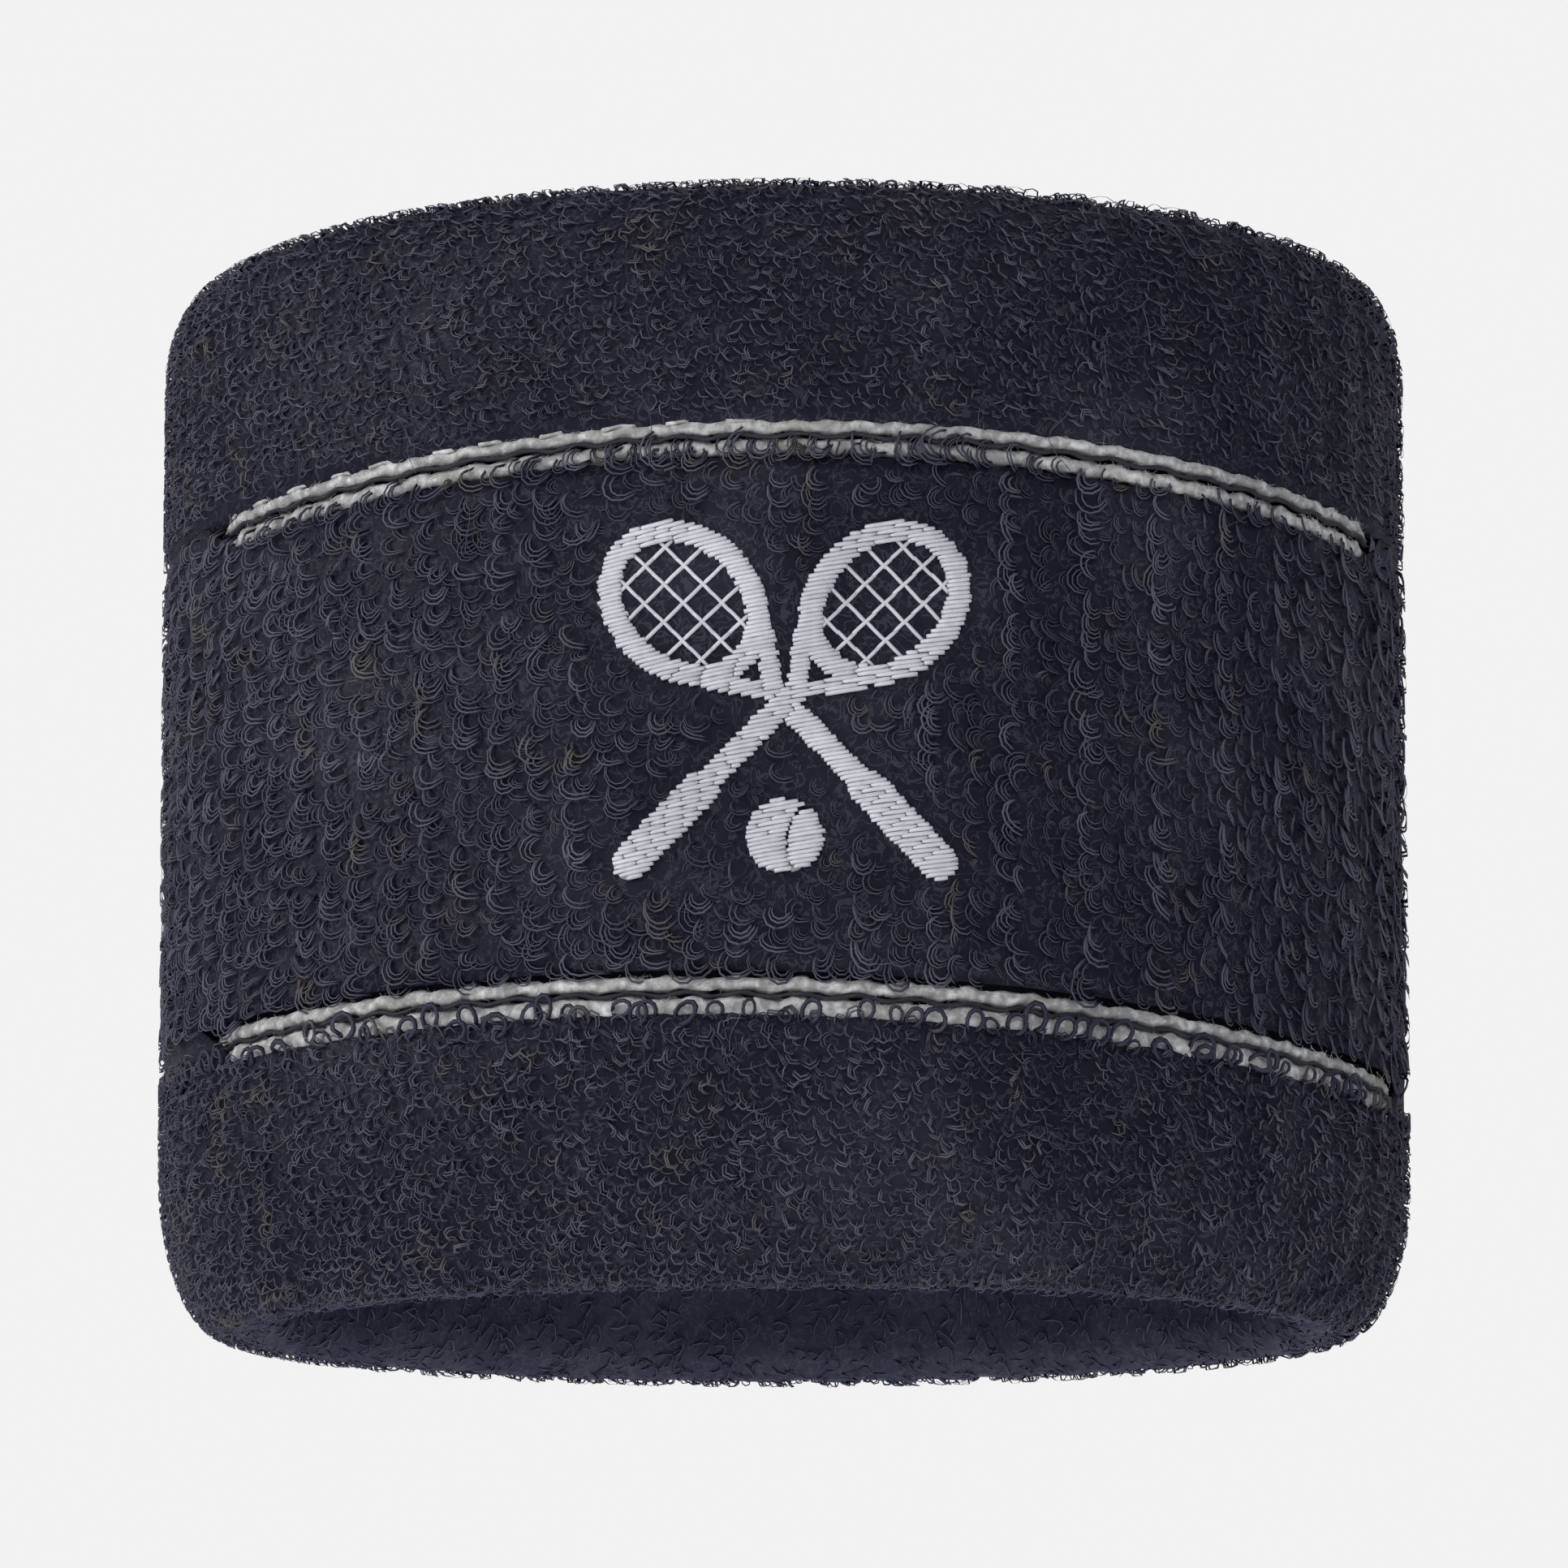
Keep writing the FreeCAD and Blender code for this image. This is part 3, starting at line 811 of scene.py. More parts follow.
def finishes():
    """The dark, light and worn colour of each finish, and what else sets it apart."""
    c = settings().colours
    # Ranges of the tip attribute that map to painted highlight, lightest on strand tops and loop tips.
    loop_highlight_range, thread_highlight_range = (0.05, 0.75), (0.0, 0.9)
    # The lining is the pile yarn made lighter: painted light that lifts the shaded inside of the ring.
    lining_dark_painted_light = scaled(c.pile_dark, 2.4)
    return {
        "pile_loops": (c.pile_dark, c.pile_light, c.pile_brown, dict(wear=0.7, relief=0.25, tips=loop_highlight_range)),
        "lining_loops_painted_light": (lining_dark_painted_light, scaled(c.pile_light, 0.9), lining_dark_painted_light,
                         dict(relief=0.25, specular=0.12, tips=loop_highlight_range)),
        # The outer foot is a darkened copy of the pile yarn: painted shade in the gaps between the loops.
        "pile_roots": (scaled(c.pile_dark, 0.42), scaled(c.pile_light, 0.5), c.pile_dark,
                       dict(relief=0.6, specular=0.1, fleck=0.1, curl=0.5, lightness=0.04)),
        "lining_roots_painted_light": (scaled(c.pile_dark, 1.15), scaled(c.pile_light, 0.66), c.pile_dark,
                         dict(relief=0.6, specular=0.1, fleck=0.15, curl=0.35, lightness=0.3)),
        "knit_finish": (c.knit, scaled(c.knit, 1.6), c.knit, dict(relief=0.5)),
        "stripe_finish": (scaled(c.stripe, 0.4), c.stripe, c.stripe_dirt,
                          dict(wear=0.8, relief=1.0, specular=0.2, fleck=0.8)),
        "fuzz_finish": (scaled(c.stripe, 0.15), scaled(c.stripe, 1.1), c.stripe_dirt,
                        dict(wear=0.5, relief=0.2, specular=0.2, tips=loop_highlight_range)),
        "divider_finish": (c.divider, scaled(c.divider, 2), c.divider, dict(relief=0.5)),
        # The seam stitches take painted highlight on their tops and painted shade on their flanks and ends.
        "seam_finish": (c.pile_dark, scaled(c.pile_light, 1.3), c.pile_light,
                        dict(wear=0.3, relief=0.5, specular=0.4, tips=loop_highlight_range)),
        "elastic": (c.elastic, scaled(c.elastic, 1.5), c.elastic, dict(relief=0.2, specular=0.5)),
        # The thread's dark end is painted shade on the sides and ends of each stitch; its light end is
        # painted highlight on the top.
        "thread_finish": (scaled(c.thread, 0.5), c.thread, scaled(c.thread, 0.9),
                          dict(wear=0.3, relief=0.5, specular=0.4, tips=thread_highlight_range, fleck=0.2)),
        "backing": (scaled(c.thread, 0.7), c.thread, c.thread, dict(wear=0.2, relief=0.8, specular=0.2)),
    }


@lru_cache(maxsize=None)
def material_named(name):
    """Each finish of the wristband, made once."""
    dark, light, worn, apart = finishes()[name]
    return yarn_material(name, dark, light, worn, **apart)


# ---------------------------------------------------------------- pile


def pile_zones():
    """Each zone of pile: its CAD node, style and reach along the section, in order from the seam."""
    outline = section(0.0)
    groove = (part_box("upper_lining_pile")[0].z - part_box("lower_lining_pile")[1].z) / 2
    upper_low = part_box("upper_channel_broken_course")[1].z
    middle_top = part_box("upper_channel_lower_stripe")[0].z
    middle_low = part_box("lower_channel_upper_stripe")[1].z
    lower_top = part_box("lower_channel_lower_stripe")[0].z
    return [
        ("upper_lining_pile", "lining", groove, outline.crest(True)),
        ("upper_terry_pile", "fine", outline.crest(True), outline.outer(upper_low)),
        ("middle_terry_pile", "middle", outline.outer(middle_top), outline.outer(middle_low)),
        ("lower_terry_pile", "fine", outline.outer(lower_top), outline.crest(False)),
        ("lower_lining_pile", "lining", outline.crest(False), outline.total - groove),
    ]


def rib_depth(theta, height):
    """How far the pile dips between its soft vertical ribs, strongest towards the right of the front."""
    around = theta * (HALF_WIDTH + HALF_DEPTH) / 2
    wander = noise.noise(Vector((theta * 3, height * 60, 0))) * 0.9
    wave = 0.5 - 0.5 * math.cos(FULL_TURN * around / settings().shape.rib_pitch + wander)
    turn = turned(theta)
    return wave * (clamped((turn + 0.1) / 0.6, 0.12, 1.0) if turn > -2.2 else 0.6)


def pressed(theta, place):
    """1 where the embroidery has pressed the pile flat, 0 clear of it."""
    if math.cos(theta) < 0.3:
        return 0.0
    return 1 - clamped((motif_gap(place.x, place.z) - 0.4 * MM) / (1.7 * MM))


def make_roots_mat(name, kind, start, end):
    """The dense foot of the pile, a closed sleeve from below the loops down to the knit."""
    style = getattr(settings(), kind)
    outline, foot = section(style.foot), section(FOOT_BASE)
    scale_out, scale_in = outline.total / section(0.0).total, foot.total / section(0.0).total
    rows = max(6, int((end - start) / (1.2 * MM)))
    back_rows = rows // 3
    start += LOWER_START * (name == "lower_terry_pile")
    cover = CHANNEL_COVER.get(name, 0.0)

    def place(turn, side):
        theta = turn * FULL_TURN
        row = round(side * (rows + back_rows + 2))
        if row <= rows:
            first = start - cover * closed_ends(theta, name == "middle_terry_pile")
            along = (first + (end - first) * row / rows) * scale_out
            inset, height = outline.place(along)
            point = band_point(theta, inset, height)
            lump = noise.noise(point * 900) * 0.2 * style.foot
            out = surface_frame(outline, theta, along)[3]
            flat = pressed(theta, point)
            dip = 0.6 * style.foot * rib_depth(theta, height) * (1 - flat) + MOTIF_DIP * flat
            return point + out * (lump - dip)
        along = (end - (end - start) * (row - rows - 1) / back_rows) * scale_in
        return band_point(theta, *foot.place(along))

    bm = bmesh.new()
    closed_tube(bm, 260, rows + back_rows + 2, place)
    # The outer foot is darkened as painted shade between the loops; the lining's foot is lightened as painted
    # light inside the ring.
    finish = "lining_roots_painted_light" if kind == "lining" else "pile_roots"
    return finished(name.replace("_pile", "_pile_foot"), bm, material_named(finish),
                    "lining_pile_yarn" if "lining" in name else "pile_yarn", name)


SIDES = ("front", "right", "back", "left")


def side_of(theta):
    return int(((theta + math.pi / 4) % FULL_TURN) // (math.pi / 2))


def loop_lean(kind, theta, draw, place):
    """Which way the tip of a loop falls, turned from straight down. It swings up beside the motif."""
    style = getattr(settings(), kind)
    swing = math.exp(-((turned(theta) - 0.36) / 0.13) ** 2) if kind == "middle" else 0.0
    lean = style.lean * (1 + 1.1 * swing)
    return lean + draw.gauss(0, style.spread) * 0.6 + 0.6 * noise.noise(Vector(place) * 160)


def closed_ends(theta, upper):
    """How far the pile closes over a channel at the two ends of the oval, 1 where it is hidden."""
    turn = turned(theta)
    reach = LEFT_CLOSED if turn < 0 else RIGHT_CLOSED_UPPER if upper else RIGHT_CLOSED_LOWER
    return 1 - clamped((abs(abs(turn) - math.pi / 2) - reach) / CLOSING_TURN)


def edge_loop(name, row, theta, draw):
    """How a loop of the rows that meet the channel above a zone stands: (kept, turned up, raised by).

    Rows below 0 are extra: they let the pile close over the channels at the two ends of the oval, and
    give the lower zone the loops that curl up over its stripe.
    """
    middle = name == "middle_terry_pile"
    ends = closed_ends(theta, middle)
    centred = 1 - clamped((abs(turned(theta)) - 0.25) / 0.2)
    if row < 0:
        curls = 0.7 if not middle and row == -1 else 0.0
        covered = 0.85 * centred * (middle and row == -1)
        over = draw.random() < max(ends, covered)
        return over or draw.random() < curls, not over, draw.uniform(-0.35, 0.2) * MM
    if row == 0 and middle:
        return True, False, (0.3 + 0.75 * centred + draw.uniform(-0.2, 0.2)) * MM
    return True, False, 0.0


def stand(name, points, templates, wrapping, ease, finish, slot, *replaced):
    """Stands the templates on their roots in the flat, and wraps the mesh that results round the band."""
    mesh = points.stamped(name, templates)
    wrapping.lay(mesh, ease)
    as_piece(name, mesh, material_named(finish), slot, *replaced)


def make_pile(name, kind, start, end, wrapping):
    """Rows of loops from one end of a zone to the other, in four pieces round the band."""
    style = getattr(settings(), kind)
    number = [zone[0] for zone in pile_zones()].index(name)
    draw = random.Random(100 + number)
    roots = [Roots() for side in SIDES]
    first = start + (0.5 if name == "lower_terry_pile" else 0.25) * MM
    last = end - style.loop_length * (1.1 if name == "upper_terry_pile" else 0.8)
    rows = round((last - first) / style.pitch_along)
    count = 2 * round(wrapping.girth / style.pitch_across / 2)
    extra_rows = round(2.6 * MM / style.pitch_along) if name in CHANNEL_COVER else 0
    for row in range(-extra_rows, rows + 1):
        along = first + (last - first) * row / rows + 0.5 * MM * (row < 0)
        for column in range(count):
            wale = column % 2 if kind == "middle" else 0
            stagger = 0.0 if kind == "middle" else 0.5 * (row % 2)
            x = (column + stagger + draw.uniform(-0.25, 0.25)) * wrapping.girth / count
            theta = float(wrapping.angle(x))
            kept, upwards, raised = edge_loop(name, row, theta, draw)
            if not kept:
                continue
            y = -along + raised + draw.uniform(-0.25, 0.25) * style.pitch_along * (row > 0)
            place = band_point(theta, *wrapping.level(y))
            dip = max(rib_depth(theta, place.z), wale * (0.95 if 0.3 < theta < 1.9 else 0.7))
            lean = loop_lean(kind, theta, draw, place)
            if upwards:
                lean = math.pi + draw.gauss(0, 0.6)
            flat = 0.0
            if kind == "middle":
                tip = place + Vector((math.sin(lean), 0, -math.cos(lean))) * style.loop_length * 0.8
                flat = max(pressed(theta, place), pressed(theta, tip))
                if flat > 0.85:
                    continue
            size = draw.uniform(0.8, 1.2) * (1 - 0.25 * dip) * (1 - 0.35 * flat)
            tall = size * draw.uniform(0.8, 1.15) * (1 - 0.8 * flat)
            # Random tone per loop, darkened as painted shade in rib valleys, in the sunk columns and in the
            # pressed hollow round the motif.
            shade = draw.uniform(0.35, 1.0) * (1 - 0.45 * dip) * (1 - 0.8 * flat)
            depth = style.lift * (1.0 + 0.65 * dip * (1 - flat) + 0.25 * flat)
            roots[side_of(theta)].add((x, y, -depth), (draw.gauss(0, 0.16), draw.gauss(0, 0.22), lean),
                                      (size, size, tall), shade, draw.randrange(LOOP_VARIANTS))
    templates = [loop_template(style, 10 * number + i) for i in range(LOOP_VARIANTS)]
    # The lining loops use a lightened copy of the pile yarn, painted light for the shaded inside of the ring.
    finish, slot = ("lining_loops_painted_light", "lining_pile_yarn") if kind == "lining" else ("pile_loops", "pile_yarn")
    for side, points in zip(SIDES, roots):
        stand(f"{name}_{side}", points, templates, wrapping, LOOP_EASE, finish, slot, name)
    thrown_away(templates)


def make_edge_loops(start, wrapping):
    """The single dark loops that stand up from the lower zone over its stripe."""
    style, draw, roots = settings().edge, random.Random(71), Roots()
    count = round(wrapping.girth / style.pitch_across)
    for column in range(count):
        x = (column + draw.uniform(-0.4, 0.4)) * wrapping.girth / count
        if draw.random() < 0.25:
            continue
        size = draw.uniform(0.7, 1.25)
        y = -start + draw.uniform(-0.35, 0.35) * MM
        roots.add((x, y, -style.lift), (0, draw.gauss(0, 0.2), math.pi + draw.gauss(0, style.spread)),
                  (size * draw.uniform(0.8, 1.2), size, size), draw.uniform(0.0, 0.12),
                  draw.randrange(EDGE_VARIANTS))
    templates = [loop_template(style, 201 + 2 * i) for i in range(EDGE_VARIANTS)]
    stand("lower_terry_edge_loops", roots, templates, wrapping, LOOP_EASE, "pile_loops", "pile_yarn",
          "lower_terry_pile")
    thrown_away(templates)


def fibre_template(seed):
    """A stray fibre that lies on the tips of the pile."""
    draw = random.Random(seed)
    reach, bend, wave = draw.uniform(2.2, 4.5) * MM, draw.uniform(-1.2, 1.2), draw.uniform(-0.4, 0.4) * MM

    def build(bm, layer):
        path = []
        for step in range(8):
            t = step / 7 - 0.5
            rise = 0.12 * MM * math.sin(9 * t + seed) + 0.1 * MM
            path.append(Vector((reach * t, bend * reach * t * t + wave * math.sin(8 * t), rise)))
        strand(bm, path, 0.028 * MM, 3, [1.0] * len(path), layer, flank=0.8)

    return template(f"fibre_{seed}", build)


def make_stray_fibres(name, start, end, number, wrapping):
    """Single fibres that lie here and there on the pile of a zone."""
    draw, roots = random.Random(83 + number), Roots()
    for _ in range(number):
        x, y = draw.uniform(0, wrapping.girth), -draw.uniform(start, end)
        theta = float(wrapping.angle(x))
        if pressed(theta, band_point(theta, *wrapping.level(y))) > 0.0:
            continue
        size = draw.uniform(0.5, 1.2)
        roots.add((x, y, -0.22 * MM), (0, 0, draw.uniform(0, FULL_TURN)), (size, size, 1.0),
                  draw.uniform(0.4, 1.0), draw.randrange(FIBRE_VARIANTS))
    templates = [fibre_template(kind) for kind in range(FIBRE_VARIANTS)]
    stand(name, roots, templates, wrapping, FIBRE_EASE, "pile_loops", "pile_yarn")
    thrown_away(templates)


class WRISTBAND_OT_terry_pile(Operator):
    """Stands the loops of every zone of pile on their feet"""

    bl_idname = "wristband.terry_pile"
    bl_label = "Terry pile"

    def execute(self, context):
        wrapping = Wrapping()
        for name, kind, start, end in pile_zones():
            make_roots_mat(name, kind, start, end)
            make_pile(name, kind, start, end, wrapping)
            if name == "lower_terry_pile":
                make_edge_loops(start, wrapping)
            if kind != "lining":
                strays = 150 if kind == "middle" else 350
                make_stray_fibres(name.replace("_pile", "_stray_fibres"), start, end, strays, wrapping)
        return {"FINISHED"}


class WRISTBAND_OT_ground_knit(Operator):
    """Makes the folded tube of knitted ground, a sheet that is closed along the seam"""

    bl_idname = "wristband.ground_knit"
    bl_label = "Ground knit"

    def execute(self, context):
        face, back = section(KNIT_FACE), section(KNIT_BACK)

        def place(turn, side):
            theta = turn * FULL_TURN
            if side < 0.5:
                return band_point(theta, *face.place(face.total * side / 0.5))
            return band_point(theta, *back.place(back.total * (1 - side) / 0.5))

        bm = bmesh.new()
        closed_tube(bm, 240, 120, place)
        knit = finished("ground_knit_tube", bm, material_named("knit_finish"), "ground_yarn", "ground_knit")
        pile = [o for o in context.scene.objects
                if ("_pile_" in o.name or "_terry_" in o.name) and o.name not in frame["nodes"]]
        return {"FINISHED"}


# ---------------------------------------------------------------- channels


# Each grey yarn of the channels: its CAD node, the depth of its middle, its height and its thickness.
STRIPES = (
    ("upper_channel_broken_course", 0.66 * MM, 0.3 * MM, 0.36 * MM),
    ("upper_channel_upper_stripe", 0.95 * MM, 0.95 * MM, 0.7 * MM),
    ("upper_channel_lower_stripe", 1.05 * MM, 1.1 * MM, 0.7 * MM),
    ("lower_channel_upper_stripe", 0.95 * MM, 0.95 * MM, 0.7 * MM),
    ("lower_channel_lower_stripe", 1.0 * MM, 1.6 * MM, 0.8 * MM),
)
RING_STEPS, RING_SIDES, PLIES = 1300, 8, 2
WAVE_PITCH, DASH_PITCH = 3.2 * MM, 3.7 * MM


def yarn_ring(node, depth, tall, thick, twist, wave, finish, slot, seed):
    """A closed ring of plied yarn that lies in a channel: its section turns with the plies.

    The broken course sinks out of sight between its dashes, and all along the right of the band.
    """
    outline = section(depth)
    middle = outline.outer(centre_height(node))
    length_round = girth(depth)
    turns, waves, dashes = (round(length_round / pitch) for pitch in (twist, WAVE_PITCH, DASH_PITCH))

    def place(turn, side):
        theta = turn * FULL_TURN
        around = turn * length_round
        angle = side * FULL_TURN
        drift = wave * math.sin(FULL_TURN * waves * turn
                                + 1.6 * noise.noise(Vector((math.cos(theta), math.sin(theta), seed)) * 3))
        ply = math.cos(PLIES * angle - FULL_TURN * turns * turn)
        rough = noise.noise(Vector((around * 1400, math.cos(angle) * 0.8, math.sin(angle) * 0.8 + seed)))
        grain = noise.noise(Vector((around * 3900, math.cos(angle) * 1.6, math.sin(angle) * 1.6 + seed)))
        swell = 1 + 0.17 * ply + 0.18 * rough + 0.16 * grain
        closed = closed_ends(theta, "upper_channel" in node)
        sunk = 0.8 * MM * closed
        swell *= 1 - 0.4 * closed
        if node == "upper_channel_broken_course":
            beat = (turn * dashes + 0.25 * noise.noise(Vector((theta * 9, seed, 0)))) % 1.0
            shown = clamped(min(beat - 0.08, 0.72 - beat) * 9)
            shown *= clamped(0.75 - 3 * math.sin(theta))
            sunk, drift = max(0.9 * MM * (1 - shown), sunk), drift - (0.2 - 0.15 * (beat - 0.5)) * MM
            swell *= 0.5 + 0.5 * shown
        point, _, up, out = surface_frame(outline, theta, middle)
        return point + up * (tall / 2 * math.sin(angle) * swell + drift) + out * (
            thick / 2 * math.cos(angle) * swell - sunk)

    bm = bmesh.new()
    closed_tube(bm, RING_STEPS, RING_SIDES, place)
    finished(node + "_yarn", bm, material_named(finish), slot, node)


def make_stripe_fuzz(wrapping):
    """Short fibres that stand loose along the stripes, one piece for each stripe."""
    for seed, (node, depth, tall, thick) in enumerate(STRIPES[1:]):
        draw, roots = random.Random(311 + seed), Roots()
        middle = section(0.0).outer(centre_height(node))
        face = depth - thick / 2
        for _ in range(420):
            x = draw.uniform(0, wrapping.girth)
            if closed_ends(float(wrapping.angle(x)), "upper_channel" in node) > 0.2:
                continue
            y = -middle + draw.uniform(-0.5, 0.5) * tall
            drop = 0.35 * MM * (2 * (y + middle) / tall) ** 2
            size = draw.uniform(0.16, 0.4)
            roots.add((x, y, -face - drop + 0.13 * MM), (0, 0, draw.gauss(0, 0.45)), (size, size, 0.5),
                      draw.uniform(0.0, 1.0), draw.randrange(FIBRE_VARIANTS))
        templates = [fibre_template(kind) for kind in range(FIBRE_VARIANTS)]
        stand(f"{node}_fuzz", roots, templates, wrapping, FIBRE_EASE, "fuzz_finish", "stripe_yarn", node)
        thrown_away(templates)


class WRISTBAND_OT_channel_stripes(Operator):
    """Lays the grey stripe yarns in the two channels"""

    bl_idname = "wristband.channel_stripes"
    bl_label = "Channel stripes"

    def execute(self, context):
        for seed, (node, depth, tall, thick) in enumerate(STRIPES):
            yarn_ring(node, depth, tall, thick, 1.9 * MM, 0.06 * MM, "stripe_finish", "stripe_yarn", seed)
        make_stripe_fuzz(Wrapping())
        return {"FINISHED"}


class WRISTBAND_OT_channel_dividers(Operator):
    """Lays the dark yarn line between the stripes of each channel"""

    bl_idname = "wristband.channel_dividers"
    bl_label = "Channel dividers"

    def execute(self, context):
        for seed, node in enumerate(("upper_channel_divider", "lower_channel_divider"), start=7):
            yarn_ring(node, 0.62 * MM, 0.28 * MM, 0.4 * MM, 1.3 * MM, 0.13 * MM, "divider_finish",
                      "divider_yarn", seed)
        return {"FINISHED"}


class WRISTBAND_OT_closing_seam(Operator):
    """Sews the linking stitches that close the tube on the wrist side"""

    bl_idname = "wristband.closing_seam"
    bl_label = "Closing seam"

    def execute(self, context):
        outline = section(0.8 * MM)
        draw = random.Random(5)
        roots = Roots()
        inset = outline.place(0.0)[0]
        count = int(girth(inset) / (1.3 * MM))
        for i, theta in enumerate(even_angles(count, inset)):
            place, across, up, out = surface_frame(outline, theta, 0.4 * MM)
            turn = math.radians(58 if i % 2 else 122)
            along = across * math.cos(turn) + up * math.sin(turn)
            roots.add_framed(place, along, out.cross(along), out, (2.5 * MM, 0.5 * MM, 0.5 * MM),
                      draw.uniform(0.5, 1.0), 0)
        shapes = [stitch_template(0)]
        mesh = roots.stamped("closing_seam_stitches", shapes)
        as_piece("closing_seam_stitches", mesh, material_named("seam_finish"), "seam_thread",
                 "closing_seam_thread")
        thrown_away(shapes)
        return {"FINISHED"}


# ---------------------------------------------------------------- embroidery


def stitch_template(seed):
    """One stitch, one long and one thick: it rises from the cloth, runs flat and goes down again."""
    draw = random.Random(seed)

    def build(bm, layer):
        steps = 7
        path, tips = [], []
        for i in range(steps + 1):
            t = i / steps
            rise = math.sin(math.pi * t) ** 0.35 if 0 < t < 1 else -0.6
            path.append(Vector((t - 0.5, 0.06 * math.sin(5 * t + seed), rise * 0.9)))
            # Painted highlight along the stitch, painted shade at its ends where it goes into the cloth.
            tips.append(draw.uniform(0.8, 1.0) if 0.1 < t < 0.9 else 0.35)
        strand(bm, path, 0.5, 6, tips, layer, flank=0.6)
        for vert in bm.verts:
            vert.co.x = clamped(vert.co.x, -0.52, 0.52)
        # Extruding this many sides leaves the faces in another order on each run.
        bm.faces.sort(key=lambda face: face.calc_center_median().dot((1.0, 0.73, 0.37)))

    return template(f"stitch_{seed}", build)


def front_frame(x, z, depth):
    """The frame of the outer face at a place of the motif's plane."""
    theta = math.asin(clamped(x / (HALF_WIDTH - depth), -1.0, 1.0))
    outline = section(depth)
    height = z
    for _ in range(3):
        height = z - lie(theta, height)
    return surface_frame(outline, theta, outline.outer(height))


def hatch_runs(gap, reach, slope, pitch):
    """Straight runs across a flat shape, on lines a pitch apart: (start, end, number of the line)."""
    along = Vector((math.cos(slope), math.sin(slope)))
    beside = Vector((-along.y, along.x))
    step = 0.06 * MM
    runs = []
    for k in range(-int(reach / pitch), int(reach / pitch) + 1):
        begun = None
        for j in range(-int(reach / step), int(reach / step) + 1):
            point = along * j * step + beside * k * pitch
            inside = gap(point) < 0
            if inside and begun is None:
                begun = point
            if not inside and begun is not None:
                runs.append((begun, point, k))
                begun = None
    return runs


def sew(roots, start, end, thickness, depth, draw):
    """One stitch between two points of the motif's plane."""
    middle = (start + end) / 2
    place, across, up, out = front_frame(middle.x, middle.y + motif_height(), depth)
    run = end - start
    along = (across * run.x + up * run.y).normalized()
    roots.add_framed(place, along, out.cross(along), out, (run.length, thickness, thickness),
                     draw.uniform(0.75, 1.0), draw.randrange(STITCH_VARIANTS))


def fill(roots, gap, draw):
    """Fills a flat shape with rows of stitches whose ends are staggered like bricks."""
    motif = settings().motif
    for start, end, row in hatch_runs(gap, 16 * MM, motif.hatch, motif.stitch_pitch):
        run = end - start
        if run.length < 0.25 * MM:
            continue
        direction = run.normalized()
        start = start - direction * draw.uniform(0.0, 0.22) * MM
        end = end + direction * draw.uniform(0.0, 0.22) * MM
        total = (end - start).length
        cuts = [0.0]
        if total > motif.stitch_length * 1.25:
            at = motif.stitch_length * (0.35 + (row % 3) / 3)
            while at < total - 0.6 * MM:
                if at > 0.6 * MM:
                    cuts.append(at)
                at += motif.stitch_length
        cuts.append(total)
        for a, b in zip(cuts, cuts[1:]):
            sew(roots, start + direction * (a + 0.03 * MM), start + direction * (b - 0.03 * MM), 0.3 * MM,
                FILL_DEPTH, draw)


def string_runs(side):
    """The strings of one racket, as runs across its bed."""
    motif = settings().motif
    axis, cross = racket_axes(side)
    centre = axis * motif.head_offset
    half_wide, half_long = bed_reach()
    for step in (-1, 0, 1):
        aside = step * motif.string_pitch
        reach = half_long * math.sqrt(1 - (aside / half_wide) ** 2)
        yield centre + cross * aside - axis * reach, centre + cross * aside + axis * reach
    for step in (-2, -1, 0, 1, 2):
        along = step * motif.string_pitch
        reach = half_wide * math.sqrt(max(1 - (along / half_long) ** 2, 0.0))
        yield centre + axis * along - cross * reach, centre + axis * along + cross * reach


def seamed_ball_gap(point):
    """The ball, without the line of its seam."""
    motif = settings().motif
    centre = Vector((motif.ball_width * 0.75, -motif.ball_drop - motif.ball_width * 0.1))
    seam = abs((point - centre).length - motif.ball_width * 0.72) - 0.14 * MM
    return max(ball_gap(point), -seam)


class WRISTBAND_OT_embroidery(Operator):
    """Embroiders the crossed rackets and the ball"""

    bl_idname = "wristband.embroidery"
    bl_label = "Embroidery"

    def execute(self, context):
        draw = random.Random(31)
        shapes = [stitch_template(seed) for seed in range(STITCH_VARIANTS)]
        right, left, ball, strings = Roots(), Roots(), Roots(), Roots()
        fill(right, lambda p: racket_gap(p, 1), draw)
        fill(left, lambda p: max(racket_gap(p, -1), -racket_gap(p, 1) + 0.05 * MM), draw)
        fill(ball, seamed_ball_gap, draw)
        for side in (-1, 1):
            for start, end in string_runs(side):
                count = max(1, round((end - start).length / settings().motif.string_pitch))
                for i in range(count):
                    a, b = (start + (end - start) * (i + d) / count for d in (-0.04, 1.04))
                    sew(strings, a, b, 0.26 * MM, STRING_DEPTH, draw)
        for part, points in (("right_racket", right), ("left_racket", left), ("ball", ball),
                             ("racket_string", strings)):
            mesh = points.stamped(part + "_stitches", shapes)
            as_piece(part + "_stitches", mesh, material_named("thread_finish"), "embroidery_thread",
                     part + "_stitching")
        thrown_away(shapes)
        return {"FINISHED"}


class WRISTBAND_OT_inner_pieces(Operator):
    """Gives the pieces between the two walls, whose design shape is right, their finishes"""

    bl_idname = "wristband.inner_pieces"
    bl_label = "Inner pieces"

    def execute(self, context):
        chosen = {
            "outer_elastic_yarn": "elastic", "lining_elastic_yarn": "elastic",
            "embroidery_underlay": "thread_finish", "embroidery_bobbin_thread": "thread_finish",
            "embroidery_stabiliser": "backing",
        }
        for node, finish in chosen.items():
            item = frame["nodes"][node]
            for slot in item.material_slots:
                slot.material = material_named(finish)
        return {"FINISHED"}


# ---------------------------------------------------------------- stage


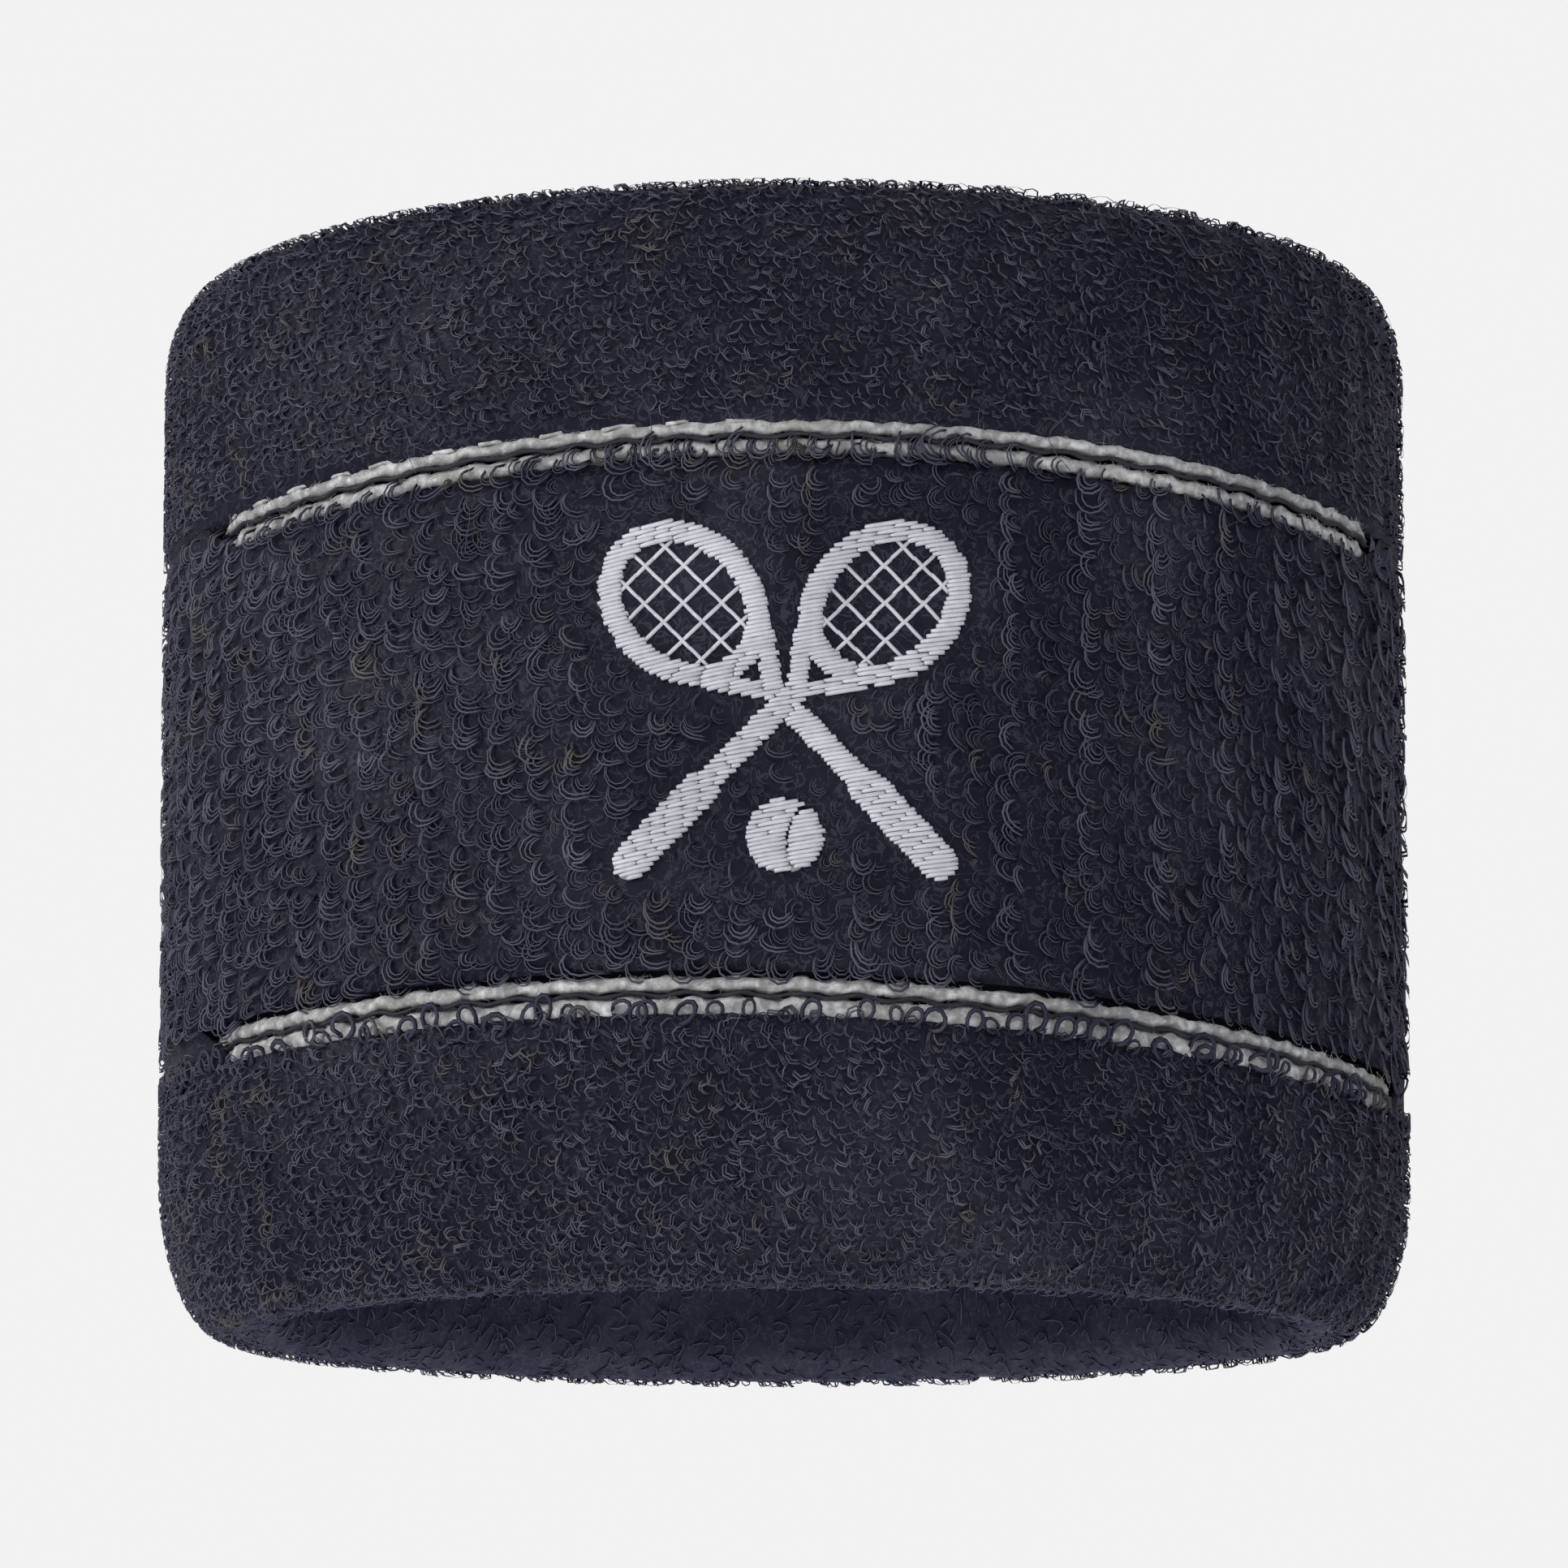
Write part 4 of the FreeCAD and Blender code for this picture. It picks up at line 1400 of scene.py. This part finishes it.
# Each light's name, place, width and power.
LIGHTS = (
    ("key", (-0.75, -0.30, 0.28), 0.35, 3.9),
    ("fill", (-0.1, -0.8, 0.45), 0.4, 1.9),
    ("under", (0.0, -0.35, -0.55), 0.4, 2.3),
)
CAMERA_DISTANCE, CAMERA_RISE, CAMERA_LENS, CAMERA_SENSOR = 9.35 * HALF_WIDTH, math.radians(12.04), 133.2, 36


def blend_shaders(tree, factor, first, second, output):
    blend = tree.nodes.new("ShaderNodeMixShader")
    for socket, source in zip(blend.inputs, (factor, first, second)):
        tree.links.new(source, socket)
    tree.links.new(blend.outputs["Shader"], tree.nodes[output].inputs["Surface"])


def make_floor():
    """A pale floor that is clear from below, so that it doesn't hide the base."""
    bm = bmesh.new()
    bmesh.ops.create_grid(bm, x_segments=1, y_segments=1, size=1.5)
    floor = bpy.data.objects.new("floor", mesh_of("floor", bm))
    bpy.context.scene.collection.objects.link(floor)
    for ray in ("visible_diffuse", "visible_glossy", "visible_shadow", "visible_transmission"):
        setattr(floor, ray, False)
    pale = bpy.data.materials.new("pale_floor")
    pale.use_nodes = True
    nodes = pale.node_tree.nodes
    shader = nodes["Principled BSDF"]
    shader.inputs["Base Color"].default_value = (0.86, 0.86, 0.86, 1)
    shader.inputs["Roughness"].default_value = 0.9
    blend_shaders(pale.node_tree, nodes.new("ShaderNodeNewGeometry").outputs["Backfacing"],
                  shader.outputs["BSDF"], nodes.new("ShaderNodeBsdfTransparent").outputs["BSDF"],
                  "Material Output")
    floor.data.materials.append(pale)


def make_world():
    """A near-white background, with a dimmer, cooler light from all round."""
    world = bpy.data.worlds.new("studio")
    world.use_nodes = True
    bpy.context.scene.world = world
    nodes = world.node_tree.nodes
    sky, ambient = nodes["Background"], nodes.new("ShaderNodeBackground")
    sky.inputs["Color"].default_value = (0.888, 0.888, 0.888, 1)
    ambient.inputs["Color"].default_value = (0.9, 0.92, 1.0, 1)
    ambient.inputs["Strength"].default_value = 0.68
    blend_shaders(world.node_tree, nodes.new("ShaderNodeLightPath").outputs["Is Camera Ray"],
                  ambient.outputs["Background"], sky.outputs["Background"], "World Output")


def area_light(name, place, width, power):
    data = bpy.data.lights.new(name, "AREA")
    data.size, data.energy = width, power
    lamp = bpy.data.objects.new(name, data)
    lamp.location = place
    aim = Vector((0, 0, HEIGHT / 2)) - Vector(place)
    lamp.rotation_euler = aim.to_track_quat("-Z", "Y").to_euler()
    bpy.context.scene.collection.objects.link(lamp)


class WRISTBAND_OT_stage(Operator):
    """Sets the floor, the lights and the camera"""

    bl_idname = "wristband.stage"
    bl_label = "Stage"

    def execute(self, context):
        scene = context.scene
        make_floor()
        make_world()
        for light in LIGHTS:
            area_light(*light)
        camera = bpy.data.objects.new("camera", bpy.data.cameras.new("camera"))
        scene.collection.objects.link(camera)
        scene.camera = camera
        target = Vector((0, 0, HEIGHT / 2 + 0.0555 * HALF_WIDTH))
        look = Vector((0, math.cos(CAMERA_RISE), math.sin(CAMERA_RISE)))
        camera.data.sensor_width, camera.data.lens = CAMERA_SENSOR, CAMERA_LENS
        turn = look.to_track_quat("-Z", "Y").to_matrix().to_4x4()
        camera.matrix_world = Matrix.Translation(target - look * CAMERA_DISTANCE) @ turn
        scene.view_settings.view_transform = "Standard"
        return {"FINISHED"}


class WRISTBAND_PT_panel(Panel):
    """Lists the steps that build the wristband"""

    bl_idname = "WRISTBAND_PT_panel"
    bl_label = "Sweat wristband"
    bl_space_type = "VIEW_3D"
    bl_region_type = "UI"
    bl_category = "Wristband"

    def draw(self, context):
        for step in STEPS:
            self.layout.operator(step.bl_idname)


STEPS = (
    WRISTBAND_OT_stage,
    WRISTBAND_OT_terry_pile,
    WRISTBAND_OT_ground_knit,
    WRISTBAND_OT_channel_stripes,
    WRISTBAND_OT_channel_dividers,
    WRISTBAND_OT_closing_seam,
    WRISTBAND_OT_embroidery,
    WRISTBAND_OT_inner_pieces,
)
CLASSES = (BandShape, PileStyle, YarnColours, MotifSizes, WristbandSettings, *STEPS, WRISTBAND_PT_panel)


def register():
    for item in CLASSES:
        bpy.utils.register_class(item)
    bpy.types.Scene.wristband = PointerProperty(type=WristbandSettings)


def unregister():
    del bpy.types.Scene.wristband
    for item in reversed(CLASSES):
        bpy.utils.unregister_class(item)


def main():
    register()
    set_styles()
    for step in STEPS:
        group, operator = step.bl_idname.split(".")
        getattr(getattr(bpy.ops, group), operator)()


if __name__ == "__main__":
    main()
